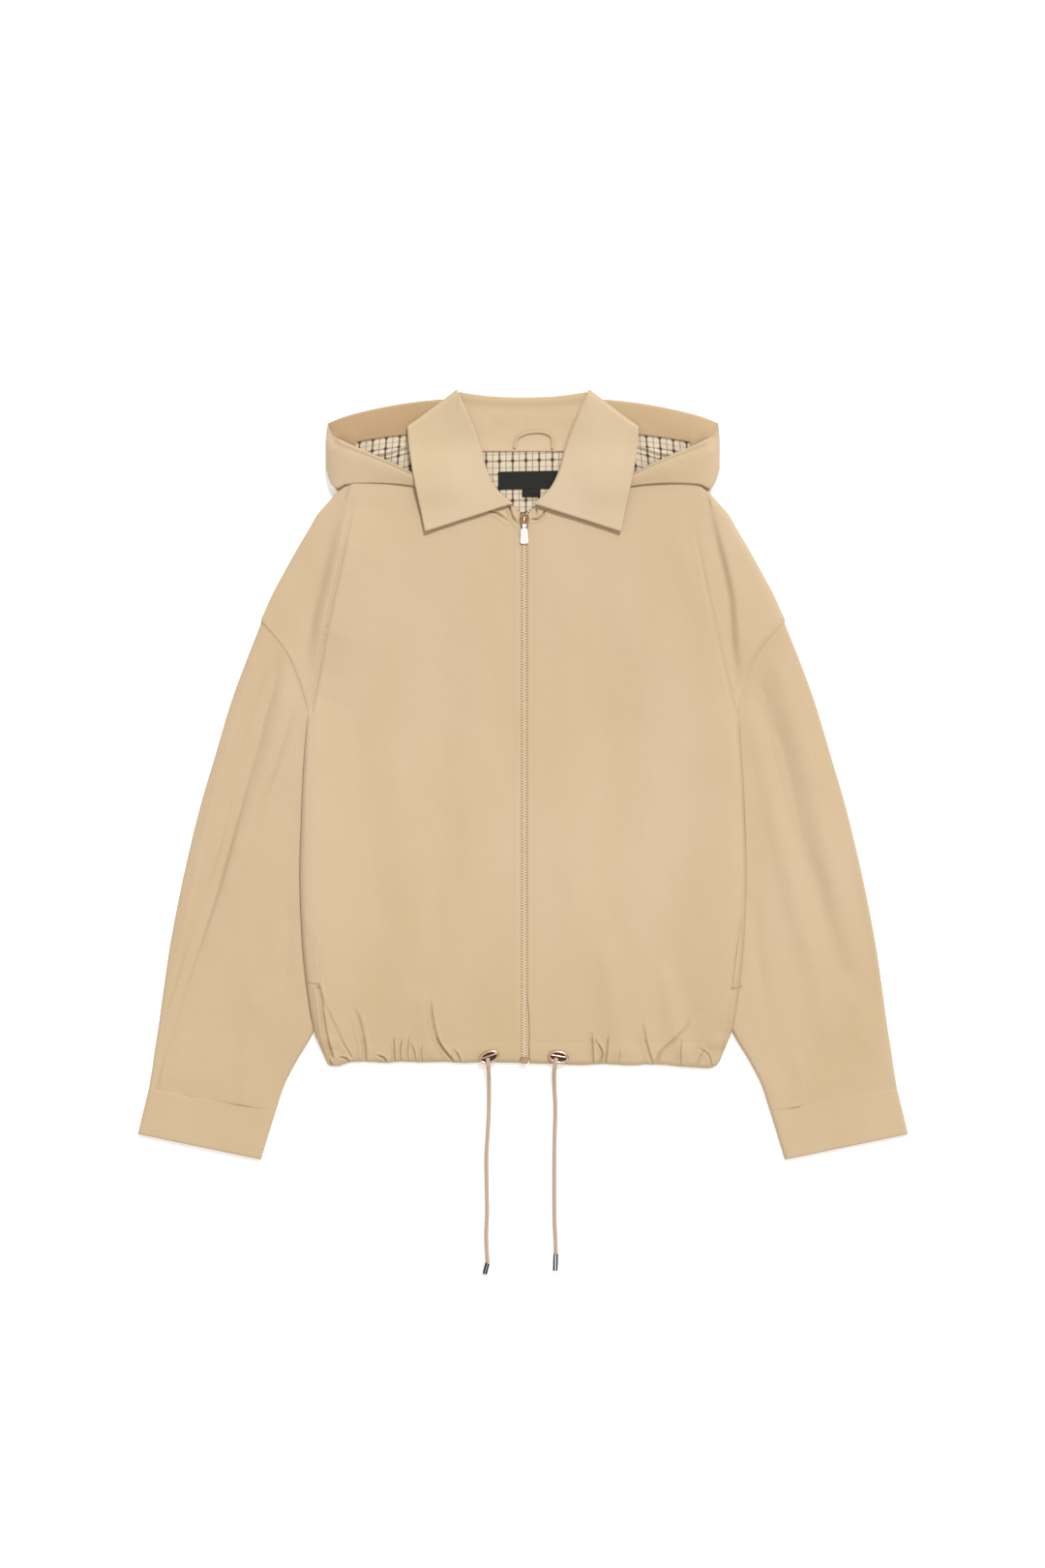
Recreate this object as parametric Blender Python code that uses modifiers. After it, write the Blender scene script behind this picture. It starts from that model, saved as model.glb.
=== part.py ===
# A hooded zip jacket in cotton twill, laid flat on its back with both arms down.
# Tables and constants are in millimetres; MM turns them into metres.
# X runs to the wearer's left, Y from the hem to the hood, Z up from the surface below.
# Every cloth piece is a thin wall: rows of points are worked out from its cut and its folds.

from collections import namedtuple
from math import cos, hypot, pi, radians, sin, sqrt

import bmesh
import bpy
import numpy as np

MM = 0.001

# Driving dimensions
CLOTH = 1.2            # wall of a cloth piece
SEAM = 0.3             # gap between pieces that meet
REST = 0.5             # gap between cloth layers that lie on each other
HEM_LEVEL = -277.0     # bottom edge of the body
CASING = 24.0          # height of the drawcord casing along the hem
UNDERARM = 60.0        # where the armhole seam meets the side
SHOULDER_END = 148.5   # where the armhole seam meets the sleeve's outer fold
NECK_POINT = 298.0     # where the shoulder seam meets the collar
BACK_NECK = 313.0      # top edge of the back, at the collar seam
COLLAR_TOP = 360.0     # fold of the collar behind the neck
LOFT = 2.8             # how far the fronts stand off the back
SLEEVE_EDGE = 4.0      # height of a sleeve's folded edge
SLEEVE_LOFT = 2.2      # further rise of a sleeve between its edges
HOOD_HEIGHT = 6.0      # height of the hood's hidden layers
BAND_RISE = 3.6        # how far the hood's near rim stands above the shoulders
ZIP_X = 1.2            # the zip lies a little to the wearer's left
ZIP_TOP = 250.0
FRONT_GAP = 4.2        # from the zip's middle to a front's edge
TOOTH_REACH = 2.75     # half the width of the closed teeth
CORD_RADIUS = 2.0
AGLET_RADIUS = 2.35
EYELET_LONG = 9.4      # half length of an oval eyelet, to the middle of its wire
EYELET_SHORT = 6.0
EYELET_WIRE = 1.1
TAB_LENGTH = 17.0
TAB_DROOP = 9.5        # the pull tab's end lies this many degrees lower than its pin

Edge = namedtuple("Edge", "y x")
Section = namedtuple("Section", "outer_x outer_y inner_x inner_y bow")
Fold = namedtuple("Fold", "points width height start end")
Gather = namedtuple("Gather", "x width height")

# Half the body's outline, from the hem up: side fold, armhole seam, shoulder, shoulder seam
SIDE = [Edge(-277, 190), Edge(-245, 200), Edge(-212, 205.5), Edge(-180, 209.5), Edge(-145, 212),
        Edge(-100, 213.5), Edge(-40, 212), Edge(20, 209), Edge(60, 205.7)]
ARMHOLE = [Edge(60, 205.7), Edge(89, 213.6), Edge(122, 229), Edge(148.5, 251.2)]
SHOULDER = [Edge(148.5, 251.2), Edge(172, 241), Edge(194.5, 229), Edge(217, 216.5),
            Edge(239, 203.4), Edge(250, 197), Edge(261, 187.4)]
SHOULDER_SEAM = [Edge(261, 187.4), Edge(268, 181), Edge(275, 174.5), Edge(280, 168), Edge(284, 150),
                 Edge(287, 122), Edge(290, 96), Edge(298, 66), Edge(306, 60), Edge(313, 52)]

# A sleeve from its armhole seam to its cuff seam, with the strip that lies under the body
SLEEVE = [
    Section(251.6, 148.1, 206.2, 60.0, 7.8), Section(264.0, 115.0, 209.2, 40.0, 3.0),
    Section(280.0, 71.6, 203.0, 5.0, 0.0), Section(296.7, 15.8, 193.0, -40.0, 0.0),
    Section(309.8, -28.8, 184.5, -80.0, 0.0), Section(320.9, -73.5, 180.0, -120.0, 0.0),
    Section(330.6, -118.0, 178.5, -155.0, 0.0), Section(339.0, -162.8, 181.0, -190.0, 0.0),
    Section(345.2, -205.0, 189.5, -222.0, 0.0), Section(350.0, -240.0, 203.8, -252.0, 0.0),
    Section(353.5, -262.0, 217.2, -274.4, 0.0), Section(356.5, -283.0, 228.8, -297.0, 0.0),
    Section(359.5, -301.0, 237.3, -322.5, 0.0),
]
CUFF = [Section(359.6, -301.3, 237.4, -322.8, 0.0), Section(364.8, -322.5, 244.4, -345.6, 0.0),
        Section(370.0, -344.0, 251.3, -368.5, 0.0)]

# The largest folds; a positive height is a ridge, start and end say how strong its ends are
FRONT_FOLDS = {
    "left": [
        Fold([(176, 262), (189, 205), (197, 140), (201, 70)], 9, 2.6, 1, 0.3),
        Fold([(183, 245), (197, 195), (205, 148), (208, 90)], 6, -1.8, 0.6, 0.4),
        Fold([(150, 215), (172, 150), (186, 90), (196, 20)], 11, 1.5, 0.2, 0),
        Fold([(196, -25), (200, -100), (192, -185)], 12, 1.2, 0, 0.4),
        Fold([(95, -262), (84, -205), (78, -150)], 10, 1.6, 1, 0),
        Fold([(150, -262), (140, -215), (133, -175)], 9, 1.8, 1, 0),
        Fold([(120, 180), (128, 60), (122, -60)], 26, 1.1, 0, 0),
        Fold([(48, 150), (42, 0), (46, -160)], 22, 0.9, 0, 0),
    ],
    "right": [
        Fold([(-178, 258), (-186, 205), (-197, 140), (-203, 80)], 9, 2.8, 1, 0.4),
        Fold([(-165, 250), (-179, 168), (-196, 94), (-204, 60)], 6, -2.0, 0.5, 0.6),
        Fold([(-146, 225), (-160, 150), (-176, 80), (-190, 10)], 11, 1.4, 0.2, 0),
        Fold([(-198, -25), (-202, -100), (-194, -175)], 12, 1.2, 0, 0.4),
        Fold([(-88, -214), (-80, -258)], 7, -2.0, 0, 1),
        Fold([(-98, -200), (-91, -262)], 9, 1.8, 0, 1),
        Fold([(-189, -221), (-167, -268)], 6, -2.0, 0, 1),
        Fold([(-118, 180), (-128, 60), (-120, -60)], 26, 1.1, 0, 0),
        Fold([(-50, 150), (-44, 0), (-48, -160)], 22, 0.9, 0, 0),
    ],
}
SLEEVE_FOLDS = {
    "left": [
        Fold([(214, 90), (238, 32), (264, -59), (284, -114), (309, -188)], 9, -1.5, 0.5, 0),
        Fold([(240, 120), (266, 40), (290, -60), (316, -170)], 15, 2.0, 0.6, 0.2),
        Fold([(232, -60), (246, -150), (262, -240)], 14, 1.8, 0, 0),
    ],
    "right": [
        Fold([(-229, 124), (-252, 57), (-287, -78), (-326, -196), (-355, -298)], 8, -1.7, 0.5, 0.8),
        Fold([(-222, 95), (-238, 30), (-262, -60), (-292, -170)], 14, 2.0, 0.6, 0.2),
        Fold([(-262, 110), (-290, 20), (-318, -90), (-342, -210)], 10, 1.6, 0.3, 0.4),
        Fold([(-248, -190), (-262, -250), (-276, -305)], 14, 1.5, 0, 0.4),
    ],
}

# Gathers that the drawcord draws up along the hem, from the zip outwards
GATHERS = {
    "left": [Gather(17, 7, 0.7), Gather(54, 6, 0.9), Gather(68, 5, 2.6), Gather(78, 6, 2.9),
             Gather(90, 5, 1.6), Gather(104, 6, 1.5), Gather(116, 5, 2.2), Gather(128, 6, 2.8),
             Gather(140, 5, 2.0), Gather(151, 6, 2.4), Gather(163, 5, 1.5), Gather(175, 6, 2.2)],
    "right": [Gather(16, 7, 0.7), Gather(50, 6, 1.2), Gather(62, 5, 2.4), Gather(74, 7, 2.8),
              Gather(88, 5, 1.8), Gather(101, 5, 2.4), Gather(112, 5, 1.6), Gather(122, 5, 2.4),
              Gather(134, 6, 2.6), Gather(147, 5, 2.2), Gather(158, 6, 2.8), Gather(170, 5, 2.4),
              Gather(180, 5, 2.6)],
}

# The hood's outline and the edges of its mouth, as heights over the distance from the middle
HOOD_CONTOUR = [(0, 360), (80, 360), (112, 356.5), (140, 351.5), (165, 345.5), (187, 337)]
HOOD_RIM = [(75, 281), (106, 289.6), (125, 298.5), (144, 307.8), (160, 314.5), (171, 321), (187, 336.5),
            (188.6, 331)]
BAND_FOOT = [(75, 270), (106, 277), (143, 279.5), (170, 278), (181, 276), (186, 284), (188.6, 293)]
FACING_FOOT = [(0, 328), (80, 328), (111, 326.6), (127, 325), (150, 321.5), (166, 319.5), (187, 333)]
HIDDEN_HOOD = [(0, 187), (60, 190), (105, 203), (140, 228), (158, 248), (171, 265), (181, 276),
               (184, 300), (183, 331), (160, 342), (135, 348), (105, 353), (70, 355), (0, 356)]

# The collar's falls: fold at the neck, then the outer edge, both from the front to the back
COLLAR_FOLD = [(10.8, 260.0), (26.0, 274.5), (34.5, 291.0), (40.0, 311.0), (53.5, 346.0), (63.5, 368.0)]
COLLAR_EDGE = [(93.3, 233.6), (100.0, 264.5), (105.4, 292.0), (108.0, 312.0), (110.4, 333.5)]

# The drawcord's two free ends, from the eyelets to the tips, as X and Y on the surface
CORD_ROUTES = {
    "left": [(31.8, -271.2), (31.0, -276), (30.1, -285.5), (30.3, -299), (31.2, -319), (30.7, -341),
             (30.3, -362), (30.2, -400), (30.5, -430), (31.4, -449), (31.6, -459.5)],
    "right": [(-33.9, -271.2), (-33.2, -278), (-32.6, -287), (-32.5, -300), (-32.6, -319),
              (-33.6, -341), (-34.9, -362), (-34.6, -400), (-34.4, -420), (-35.2, -442), (-34.0, -467.8)],
}
AGLETS = {"left": (15.7, 2.0), "right": (10.5, 14.0)}      # length, turn from straight down in degrees
EYELETS = {"left": (34.0, -270.2, -9.0), "right": (-32.6, -270.2, 19.0)}   # X, Y, turn in degrees

COLOURS = {
    "twill": (0.72, 0.56, 0.36, 1), "twill_under": (0.55, 0.42, 0.27, 1),
    "check": (0.80, 0.72, 0.60, 1), "label": (0.02, 0.02, 0.018, 1),
    "tape": (0.66, 0.50, 0.31, 1), "gold": (0.83, 0.62, 0.44, 1), "cord": (0.58, 0.45, 0.33, 1),
}
METALS = {"gold": 0.95}


# ---------------------------------------------------------------- curves and heights

def follow(table, at):
    """The value beside a key, on a smooth curve through a table of (key, value) rows."""
    keys = np.array([row[0] for row in table], float)
    values = np.array([row[1] for row in table], float)
    slopes = np.gradient(values, keys)
    at = min(max(at, keys[0]), keys[-1])
    first = min(max(int(np.searchsorted(keys, at)) - 1, 0), len(keys) - 2)
    span = keys[first + 1] - keys[first]
    t = (at - keys[first]) / span
    start = values[first] * (2 * t**3 - 3 * t**2 + 1) + slopes[first] * span * (t**3 - 2 * t**2 + t)
    end = values[first + 1] * (3 * t**2 - 2 * t**3) + slopes[first + 1] * span * (t**3 - t**2)
    return float(start + end)


def along(points, t):
    """A point at the share t of the length of a smooth line through some points."""
    steps = [0.0]
    for a, b in zip(points, points[1:]):
        steps.append(steps[-1] + hypot(b[0] - a[0], b[1] - a[1]))
    place = t * steps[-1]
    return tuple(follow([(s, p[axis]) for s, p in zip(steps, points)], place)
                 for axis in range(len(points[0])))


def ease(low, high, value):
    """0 below low, 1 above high, and an S between them."""
    t = min(max((value - low) / (high - low), 0.0), 1.0)
    return t * t * (3 - 2 * t)


def mix(a, b, t):
    return a + (b - a) * t


def spread(low, high, count):
    """Evenly spaced numbers, both ends included."""
    return [mix(low, high, i / count) for i in range(count + 1)]


def rounded(distance, radius):
    """Height share of a rounded edge, at a distance in from it."""
    t = min(max(distance / radius, 0.0), 1.0)
    return sqrt(max(1 - (1 - t) ** 2, 0.0))


def fold_height(fold, x, y):
    """Height that one fold adds at a place."""
    lengths = [hypot(b[0] - a[0], b[1] - a[1]) for a, b in zip(fold.points, fold.points[1:])]
    best, place, walked = 1e9, 0.0, 0.0
    for (a, b), length in zip(zip(fold.points, fold.points[1:]), lengths):
        t = ((x - a[0]) * (b[0] - a[0]) + (y - a[1]) * (b[1] - a[1])) / length**2
        t = min(max(t, 0.0), 1.0)
        away = hypot(x - mix(a[0], b[0], t), y - mix(a[1], b[1], t))
        if away < best:
            best, place = away, walked + t * length
        walked += length
    strength = np.interp(place / walked, [0, 0.3, 0.7, 1], [fold.start, 1, 1, fold.end])
    return fold.height * float(strength) * float(np.exp(-(best / fold.width) ** 2))


def relief(folds, x, y):
    return sum(fold_height(fold, x, y) for fold in folds)


# ---------------------------------------------------------------- the body's shape

def half_width(y):
    """Distance from the middle to the body's outline."""
    if y <= UNDERARM:
        return follow(SIDE, y)
    if y <= SHOULDER_END:
        return follow(ARMHOLE, y)
    if y <= SHOULDER[-1].y:
        return follow(SHOULDER, y)
    return follow(SHOULDER_SEAM, y)


def tucked_edge(y):
    """Inner fold of the sleeve where it lies under the body."""
    rows = sorted((s.inner_y, s.inner_x) for s in SLEEVE if -260 < s.inner_y < UNDERARM - 5)
    return follow(rows, y)


def tuck(y):
    """Width of the sleeve's strip under the body."""
    if not -252 < y < 40:
        return 0.0
    return max(half_width(y) - tucked_edge(y), 0.0)


def side_stops(y):
    """Two places near the side where the cloth starts to rise over the sleeve, and is up."""
    edge = half_width(y)
    up = edge - max(tuck(y) + 5, 16)
    return up - 18, up


def back_under(x, y):
    """Underside of the back: on the surface, but over the sleeves and the hood."""
    x = abs(x)
    start, up = side_stops(y)
    over_sleeve = np.interp(x, [start, up], [0, 1]) * ease(62, 42, y) * ease(-274, -254, y)
    over_hood = ease(95, 184, y) * (1 - 0.6 * ease(176, 215, x))
    return max((SLEEVE_EDGE + 1.4) * over_sleeve, (HOOD_HEIGHT + 0.8) * over_hood)


def back_top(x, y):
    return back_under(x, y) + CLOTH


def front_under(side, x, y):
    """Underside of a front: raised between its edges, with the folds on top."""
    x_out = abs(x)
    loft = LOFT
    if y < UNDERARM or y > SHOULDER_END:
        loft *= rounded(half_width(y) - x_out, 12)
    folds = relief(FRONT_FOLDS[side], x, y)
    folds *= ease(-1, 9, half_width(y) - x_out) * ease(0, 9, x_out - FRONT_GAP)
    return back_top(x, y) + REST + max(loft + folds, 0.0)


def front_top(side, x, y):
    return front_under(side, x, y) + CLOTH


# ---------------------------------------------------------------- Blender helpers

def fresh_collection(name):
    """An empty collection, in a scene with all its objects removed."""
    for item in list(bpy.data.objects):
        bpy.data.objects.remove(item, do_unlink=True)
    group = bpy.data.collections.new(name)
    bpy.context.scene.collection.children.link(group)
    return group


def material(name):
    """A Principled material in one of the jacket's colours."""
    found = bpy.data.materials.get(name)
    if found:
        return found
    made = bpy.data.materials.new(name)
    made.use_nodes = True
    shader = made.node_tree.nodes["Principled BSDF"]
    shader.inputs["Base Color"].default_value = COLOURS[name]
    shader.inputs["Roughness"].default_value = 0.3 if name in METALS else 0.85
    shader.inputs["Metallic"].default_value = METALS.get(name, 0.0)
    return made


def keep(name, mesh, colour):
    """Put a mesh in the jacket's collection as a named piece."""
    piece = bpy.data.objects.new(name, mesh)
    piece.data.materials.append(material(colour))
    jacket.objects.link(piece)
    return piece


def grid_mesh(name, rows, closed=False):
    """A grid laid through rows of points; a closed one joins each row's end to its start."""
    down, over = len(rows) - 1, len(rows[0]) - (0 if closed else 1)
    shape = bmesh.new()
    bmesh.ops.create_grid(shape, x_segments=over, y_segments=down, size=1)
    for vertex in shape.verts:
        i = round((vertex.co.x + 1) / 2 * over)
        j = round((vertex.co.y + 1) / 2 * down)
        x, y, z = rows[j][i % len(rows[0])]
        vertex.co = (x * MM, y * MM, z * MM)
    if closed:
        bmesh.ops.remove_doubles(shape, verts=shape.verts, dist=0.00001)
    mesh = bpy.data.meshes.new(name)
    shape.to_mesh(mesh)
    shape.free()
    return mesh


def cloth(name, rows, colour="twill", wall=CLOTH, closed=False, outward=1.0):
    """A cloth piece through rows of points, made a wall along its normals."""
    piece = keep(name, grid_mesh(name, rows, closed), colour)
    piece.data.shade_smooth()
    shell = piece.modifiers.new("wall", "SOLIDIFY")
    shell.thickness = wall * MM
    shell.offset = outward
    shell.use_even_offset = True
    shell.thickness_clamp = 0
    return piece


def tube(name, points, radius, colour, closed=False, resolution=2):
    """A round wire or cord along points."""
    path = bpy.data.curves.new(name, "CURVE")
    path.dimensions = "3D"
    path.bevel_depth = radius * MM
    path.bevel_resolution = resolution
    path.use_fill_caps = not closed
    line = path.splines.new("POLY")
    line.points.add(len(points) - 1)
    line.use_cyclic_u = closed
    for point, (x, y, z) in zip(line.points, points):
        point.co = (x * MM, y * MM, z * MM, 1)
    piece = bpy.data.objects.new(name, path)
    path.materials.append(material(colour))
    jacket.objects.link(piece)
    return piece


def as_mesh(piece, group):
    """Turn a curve piece into a welded mesh in a collection, and drop the curve."""
    name = piece.name
    settled = piece.evaluated_get(bpy.context.evaluated_depsgraph_get())
    mesh = bpy.data.meshes.new_from_object(settled)
    shape = bmesh.new()
    shape.from_mesh(mesh)
    bmesh.ops.remove_doubles(shape, verts=shape.verts, dist=0.00001)
    bmesh.ops.recalc_face_normals(shape, faces=shape.faces)
    shape.to_mesh(mesh)
    shape.free()
    solid = bpy.data.objects.new(name, mesh)
    solid.matrix_world = piece.matrix_world.copy()
    bpy.data.objects.remove(piece, do_unlink=True)
    solid.name = name
    group.objects.link(solid)
    return solid


def block(name, low, high, colour, bevel=0.5):
    """A box with rounded edges, between two corners."""
    mesh = bpy.data.meshes.new(name)
    shape = bmesh.new()
    bmesh.ops.create_cube(shape, size=1)
    for vertex in shape.verts:
        vertex.co = [mix(a, b, c + 0.5) * MM for a, b, c in zip(low, high, vertex.co)]
    shape.to_mesh(mesh)
    shape.free()
    piece = keep(name, mesh, colour)
    if bevel:
        edge = piece.modifiers.new("edge", "BEVEL")
        edge.width = bevel * MM
        edge.segments = 2
        edge.limit_method = "ANGLE"
    return piece


def join(piece, *others):
    """Unite a piece with shapes that are kept out of the build as guides."""
    for other in others:
        if other.name in jacket.objects:
            jacket.objects.unlink(other)
            guides.objects.link(other)
        other.hide_render = True
        other.display_type = "WIRE"
        union = piece.modifiers.new(other.name, "BOOLEAN")
        union.operation = "UNION"
        union.object = other
        union.solver = "EXACT"
    return piece


shapes = {}


def underside_of(name, x, y):
    """Height of a piece's underside at a place, read from its own level rows."""
    rows = shapes[name]
    levels = [row[0][1] for row in rows]
    heights = []
    for row in rows:
        line = sorted(row)
        heights.append(np.interp(x, [p[0] for p in line], [p[2] for p in line]))
    return float(np.interp(y, levels, heights))


# ---------------------------------------------------------------- body, fronts and hem

BODY_ROWS = [-240, -222, -200, -172, -140, -105, -65, -25, 15, 40, 50, 60, 78, 100, 124, 148.5,
             168, 187, 205, 222, 238, 250, 261]
SHOULDER_ROWS = [268, 275, 280, 284, 287, 290, NECK_POINT]


def body_columns(y, inner, count):
    """Places across half the body, closer together towards the side."""
    start, up = side_stops(y)
    edge = half_width(y)
    if start < inner + 20:
        return spread(inner, edge, count + 5)
    return spread(inner, start, count) + [mix(up, edge, t) for t in (0, 0.4, 0.72, 0.92, 1)]


def make_back():
    """The back in one piece, under everything but the sleeves and the hood."""
    rows = []
    for y in [HEM_LEVEL + 1, -262, -252] + BODY_ROWS + SHOULDER_ROWS + [306, BACK_NECK]:
        edge = half_width(y) - 0.6
        start, up = side_stops(y)
        if start > 40:
            half = [0, start / 3, start * 2 / 3, start, up, edge]
        else:
            half = spread(0, edge, 5)
        places = [-x for x in half[:0:-1]] + half
        rows.append([(x, y, back_under(x, y)) for x in places])
    cloth("back_panel", rows)


def neckline(y):
    """Inner edge of a front, measured from the zip: straight, then round the neck."""
    rows = [(246, FRONT_GAP), (252, 6), (257, 11), (261, 18), (267, 27), (275, 34), (284, 43), (290, 48),
            (298, 57)]
    return FRONT_GAP if y < 246 else follow(rows, y)


def make_front(side, sign):
    """A front from the zip to the side fold and armhole, up to the shoulder seam."""
    rows = []
    for y in [HEM_LEVEL + CASING + 0.7] + BODY_ROWS + SHOULDER_ROWS:
        places = [sign * x for x in body_columns(y, neckline(y) + sign * ZIP_X, 9)]
        rows.append([(x, y, front_under(side, x, y)) for x in places][::int(sign)])
    shapes["front_" + side] = rows
    cloth("front_" + side, rows)


def casing_swell(side, sign, x, share):
    """Rise of the hem casing: a roll round the cord, puckered by the gathers."""
    puckers = sum(g.height * np.exp(-((abs(x) - g.x) / (g.width * 0.75)) ** 2) for g in GATHERS[side])
    roll = sin(pi * min(max(share, 0.0), 1.0)) ** 0.6 if 0 < share < 1 else 0.0
    return 1.6 * roll + puckers * (0.45 + 0.75 * roll)


def make_casing(side, sign):
    """The casing turned up along a front's hem, with the drawcord's gathers."""
    columns, rows = 42, []
    for share in (0, 0.14, 0.5, 0.86, 1):
        row = []
        for t in spread(0, 1, columns):
            y = mix(HEM_LEVEL, HEM_LEVEL + CASING, share)
            edge = half_width(y)
            x = sign * mix(FRONT_GAP + sign * ZIP_X, edge, t)
            pucker = casing_swell(side, sign, x, 0.02) - 0.3
            if share == 0:
                y += 0.7 * pucker
            loft = LOFT * (0.45 + 0.55 * share) * rounded(edge - abs(x), 9)
            row.append((x, y, back_top(x, y) + REST + loft + casing_swell(side, sign, x, share)))
        rows.append(row[::int(sign)])
    cloth("hem_casing_" + side, rows)


def make_pocket(side, sign):
    """The stitched welt of a side pocket, on the front near the side fold."""
    welt = [(-130, 203.5, 206.5), (-140, 202, 206.5), (-155, 199, 206), (-172, 195, 204.5),
            (-188, 191.5, 202.5), (-200, 189.5, 200.5), (-206, 188.5, 199.5)]
    rows = []
    for y, inner, outer in welt:
        row = []
        for t in (0, 0.25, 0.5, 0.75, 1):
            x = sign * mix(inner, outer, t)
            row.append((x, y, underside_of("front_" + side, x, y) + CLOTH + 1.35))
        rows.append(row[::int(sign)])
    cloth("pocket_welt_" + side, rows, wall=1.0)


# ---------------------------------------------------------------- sleeves and cuffs

def section_point(section, t):
    """A place across a sleeve, from its outer fold (0) to its inner fold (1)."""
    if section is SLEEVE[0]:
        y = mix(SHOULDER_END - 0.4, UNDERARM - 0.2, t)
        return half_width(y) + 1.0, y
    dx, dy = section.inner_x - section.outer_x, section.inner_y - section.outer_y
    length = hypot(dx, dy)
    bow = section.bow * 4 * t * (1 - t)
    return section.outer_x + dx * t + bow * dy / length, section.outer_y + dy * t - bow * dx / length


def sleeve_ring(section, sign, height, shares, rise):
    """One round of a flattened tube: along the surface, round the inner fold, back over the top."""
    width = hypot(section.inner_x - section.outer_x, section.inner_y - section.outer_y)
    radius = height / 2
    inset = radius / width
    ring = []
    for t in spread(inset, 1 - inset, 5):
        x, y = section_point(section, t)
        ring.append((sign * x, y, 0.0))
    for angle in (-45, 0, 45):
        x, y = section_point(section, 1 - inset + inset * cos(radians(angle)))
        ring.append((sign * x, y, radius + radius * sin(radians(angle))))
    for t in shares:
        x, y = section_point(section, mix(1 - inset, inset, t))
        ring.append((sign * x, y, height + rise(sign * x, y, mix(1 - inset, inset, t) * width, width)))
    for angle in (135, 180, 225):
        x, y = section_point(section, inset + inset * cos(radians(angle)))
        ring.append((sign * x, y, radius + radius * sin(radians(angle))))
    return ring[::-int(sign)]


def sleeve_rise(side):
    """Rise of a sleeve's top: low under the body, then lofted and folded."""
    def rise(x, y, from_outer, width):
        clear = half_width(y) - abs(x) if -262 < y < UNDERARM - 12 else -20.0
        hidden = ease(-9, -3, clear)
        inner = width - from_outer
        swell = SLEEVE_LOFT * rounded(from_outer, 14) * rounded(inner, 10)
        folds = relief(SLEEVE_FOLDS[side], x, y) * ease(0, 12, from_outer) * ease(0, 10, inner)
        return max(swell + folds, 0.0) * (1 - hidden)
    return rise


def hidden_share(section):
    """Share of a section, from its inner fold, that lies under the body."""
    for step in range(60, 100):
        x, y = section_point(section, step / 100)
        if -258 < y < UNDERARM - 12 and x < half_width(y) + 4:
            return 1 - step / 100
    return 0.04


def sleeve_shares(section):
    """Places over a sleeve's top, from its inner fold: closer together at the body's edge."""
    hidden = hidden_share(section)
    shown = (0.07, 0.2, 0.35, 0.5, 0.65, 0.8, 0.93, 1)
    return [0, hidden * 0.6, hidden] + [mix(hidden, 1, t) for t in shown]


def make_sleeve(side, sign):
    """A sleeve as a flattened tube, open at the armhole and the cuff."""
    rings = [sleeve_ring(s, sign, SLEEVE_EDGE, sleeve_shares(s), sleeve_rise(side)) for s in SLEEVE]
    cloth("sleeve_" + side, rings, closed=True, outward=-1.0)


def make_cuff(side, sign):
    """A plain cuff with a firm edge, sewn to the sleeve's end."""
    def rise(x, y, from_outer, width):
        return 1.3 * rounded(from_outer, 9) * rounded(width - from_outer, 9)
    rings = [sleeve_ring(s, sign, SLEEVE_EDGE, (0, 0.08, 0.3, 0.7, 0.92, 1), rise) for s in CUFF]
    cloth("cuff_" + side, rings, closed=True, outward=-1.0)


# ---------------------------------------------------------------- hood

def make_hidden_hood():
    """The hood's hidden layers behind the neck, in one rounded solid with layered edges."""
    half = [along(HIDDEN_HOOD, t) for t in spread(0, 1, 18)]
    outline = half + [(-x, y) for x, y in half[-2:0:-1]]
    levels = [(0.0, 3.0), (0.6, 0.8), (1.5, 0.0), (2.4, 0.6), (2.9, 1.8), (3.5, 1.0), (4.6, 1.6),
              (5.5, 3.2), (HOOD_HEIGHT, 7.0)]
    centre_y = 270.0
    rings = []
    for z, inset in levels:
        ring = []
        for x, y in outline:
            away = hypot(x, y - centre_y)
            pull = 1 - inset / away
            ring.append((x * pull, centre_y + (y - centre_y) * pull, z))
        rings.append(ring)
    mesh = grid_mesh("hood_layers", rings, closed=True)
    shape = bmesh.new()
    shape.from_mesh(mesh)
    bmesh.ops.holes_fill(shape, edges=[edge for edge in shape.edges if edge.is_boundary], sides=0)
    bmesh.ops.triangulate(shape, faces=[face for face in shape.faces if len(face.verts) > 4])
    bmesh.ops.recalc_face_normals(shape, faces=shape.faces)
    shape.to_mesh(mesh)
    shape.free()
    keep("hood_layers", mesh, "twill_under")


def make_hood_facing():
    """The plain facing inside the hood's far rim, rolled over at its edge."""
    rows = []
    places = [184, 178, 168, 155, 140, 125, 110, 92, 70, 35]
    for x in [-p for p in places] + [0] + places[::-1]:
        foot = max(follow(FACING_FOOT, abs(x)), follow(HOOD_RIM, abs(x)) + 1.0 if abs(x) > 168 else 0)
        top = max(follow(HOOD_CONTOUR, abs(x)), foot + 2.5)
        row = []
        for t in (0, 0.35, 0.7, 0.9, 1):
            lift = 1.4 * sin(pi * min(t, 0.9) / 1.15) * ease(0, 30, top - foot)
            row.append((x, mix(foot, top, t), HOOD_HEIGHT + 1.9 + lift - (1.6 if t == 1 else 0)))
        rows.append(row)
    cloth("hood_facing", [list(row) for row in zip(*rows)], wall=CLOTH)


def make_hood_lining(side, sign):
    """The check lining that shows in the hood's mouth."""
    places = [97, 107, 117, 127, 137, 147, 157, 167]
    rows = []
    for t in spread(0, 1, 4):
        row = []
        for x in places:
            low = max(follow(HOOD_RIM, x) - 2.0, 291.0)
            high = follow(FACING_FOOT, x) - SEAM
            wrinkle = 0.5 * sin(x * 0.31 + t * 2.2) + 0.35 * sin(x * 0.17 - t * 3.0)
            row.append((sign * x, mix(low, high, t), HOOD_HEIGHT + 1.3 + wrinkle * sin(pi * t)))
        rows.append(row[::int(sign)])
    cloth("hood_lining_" + side, rows, "check", wall=1.0)


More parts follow.
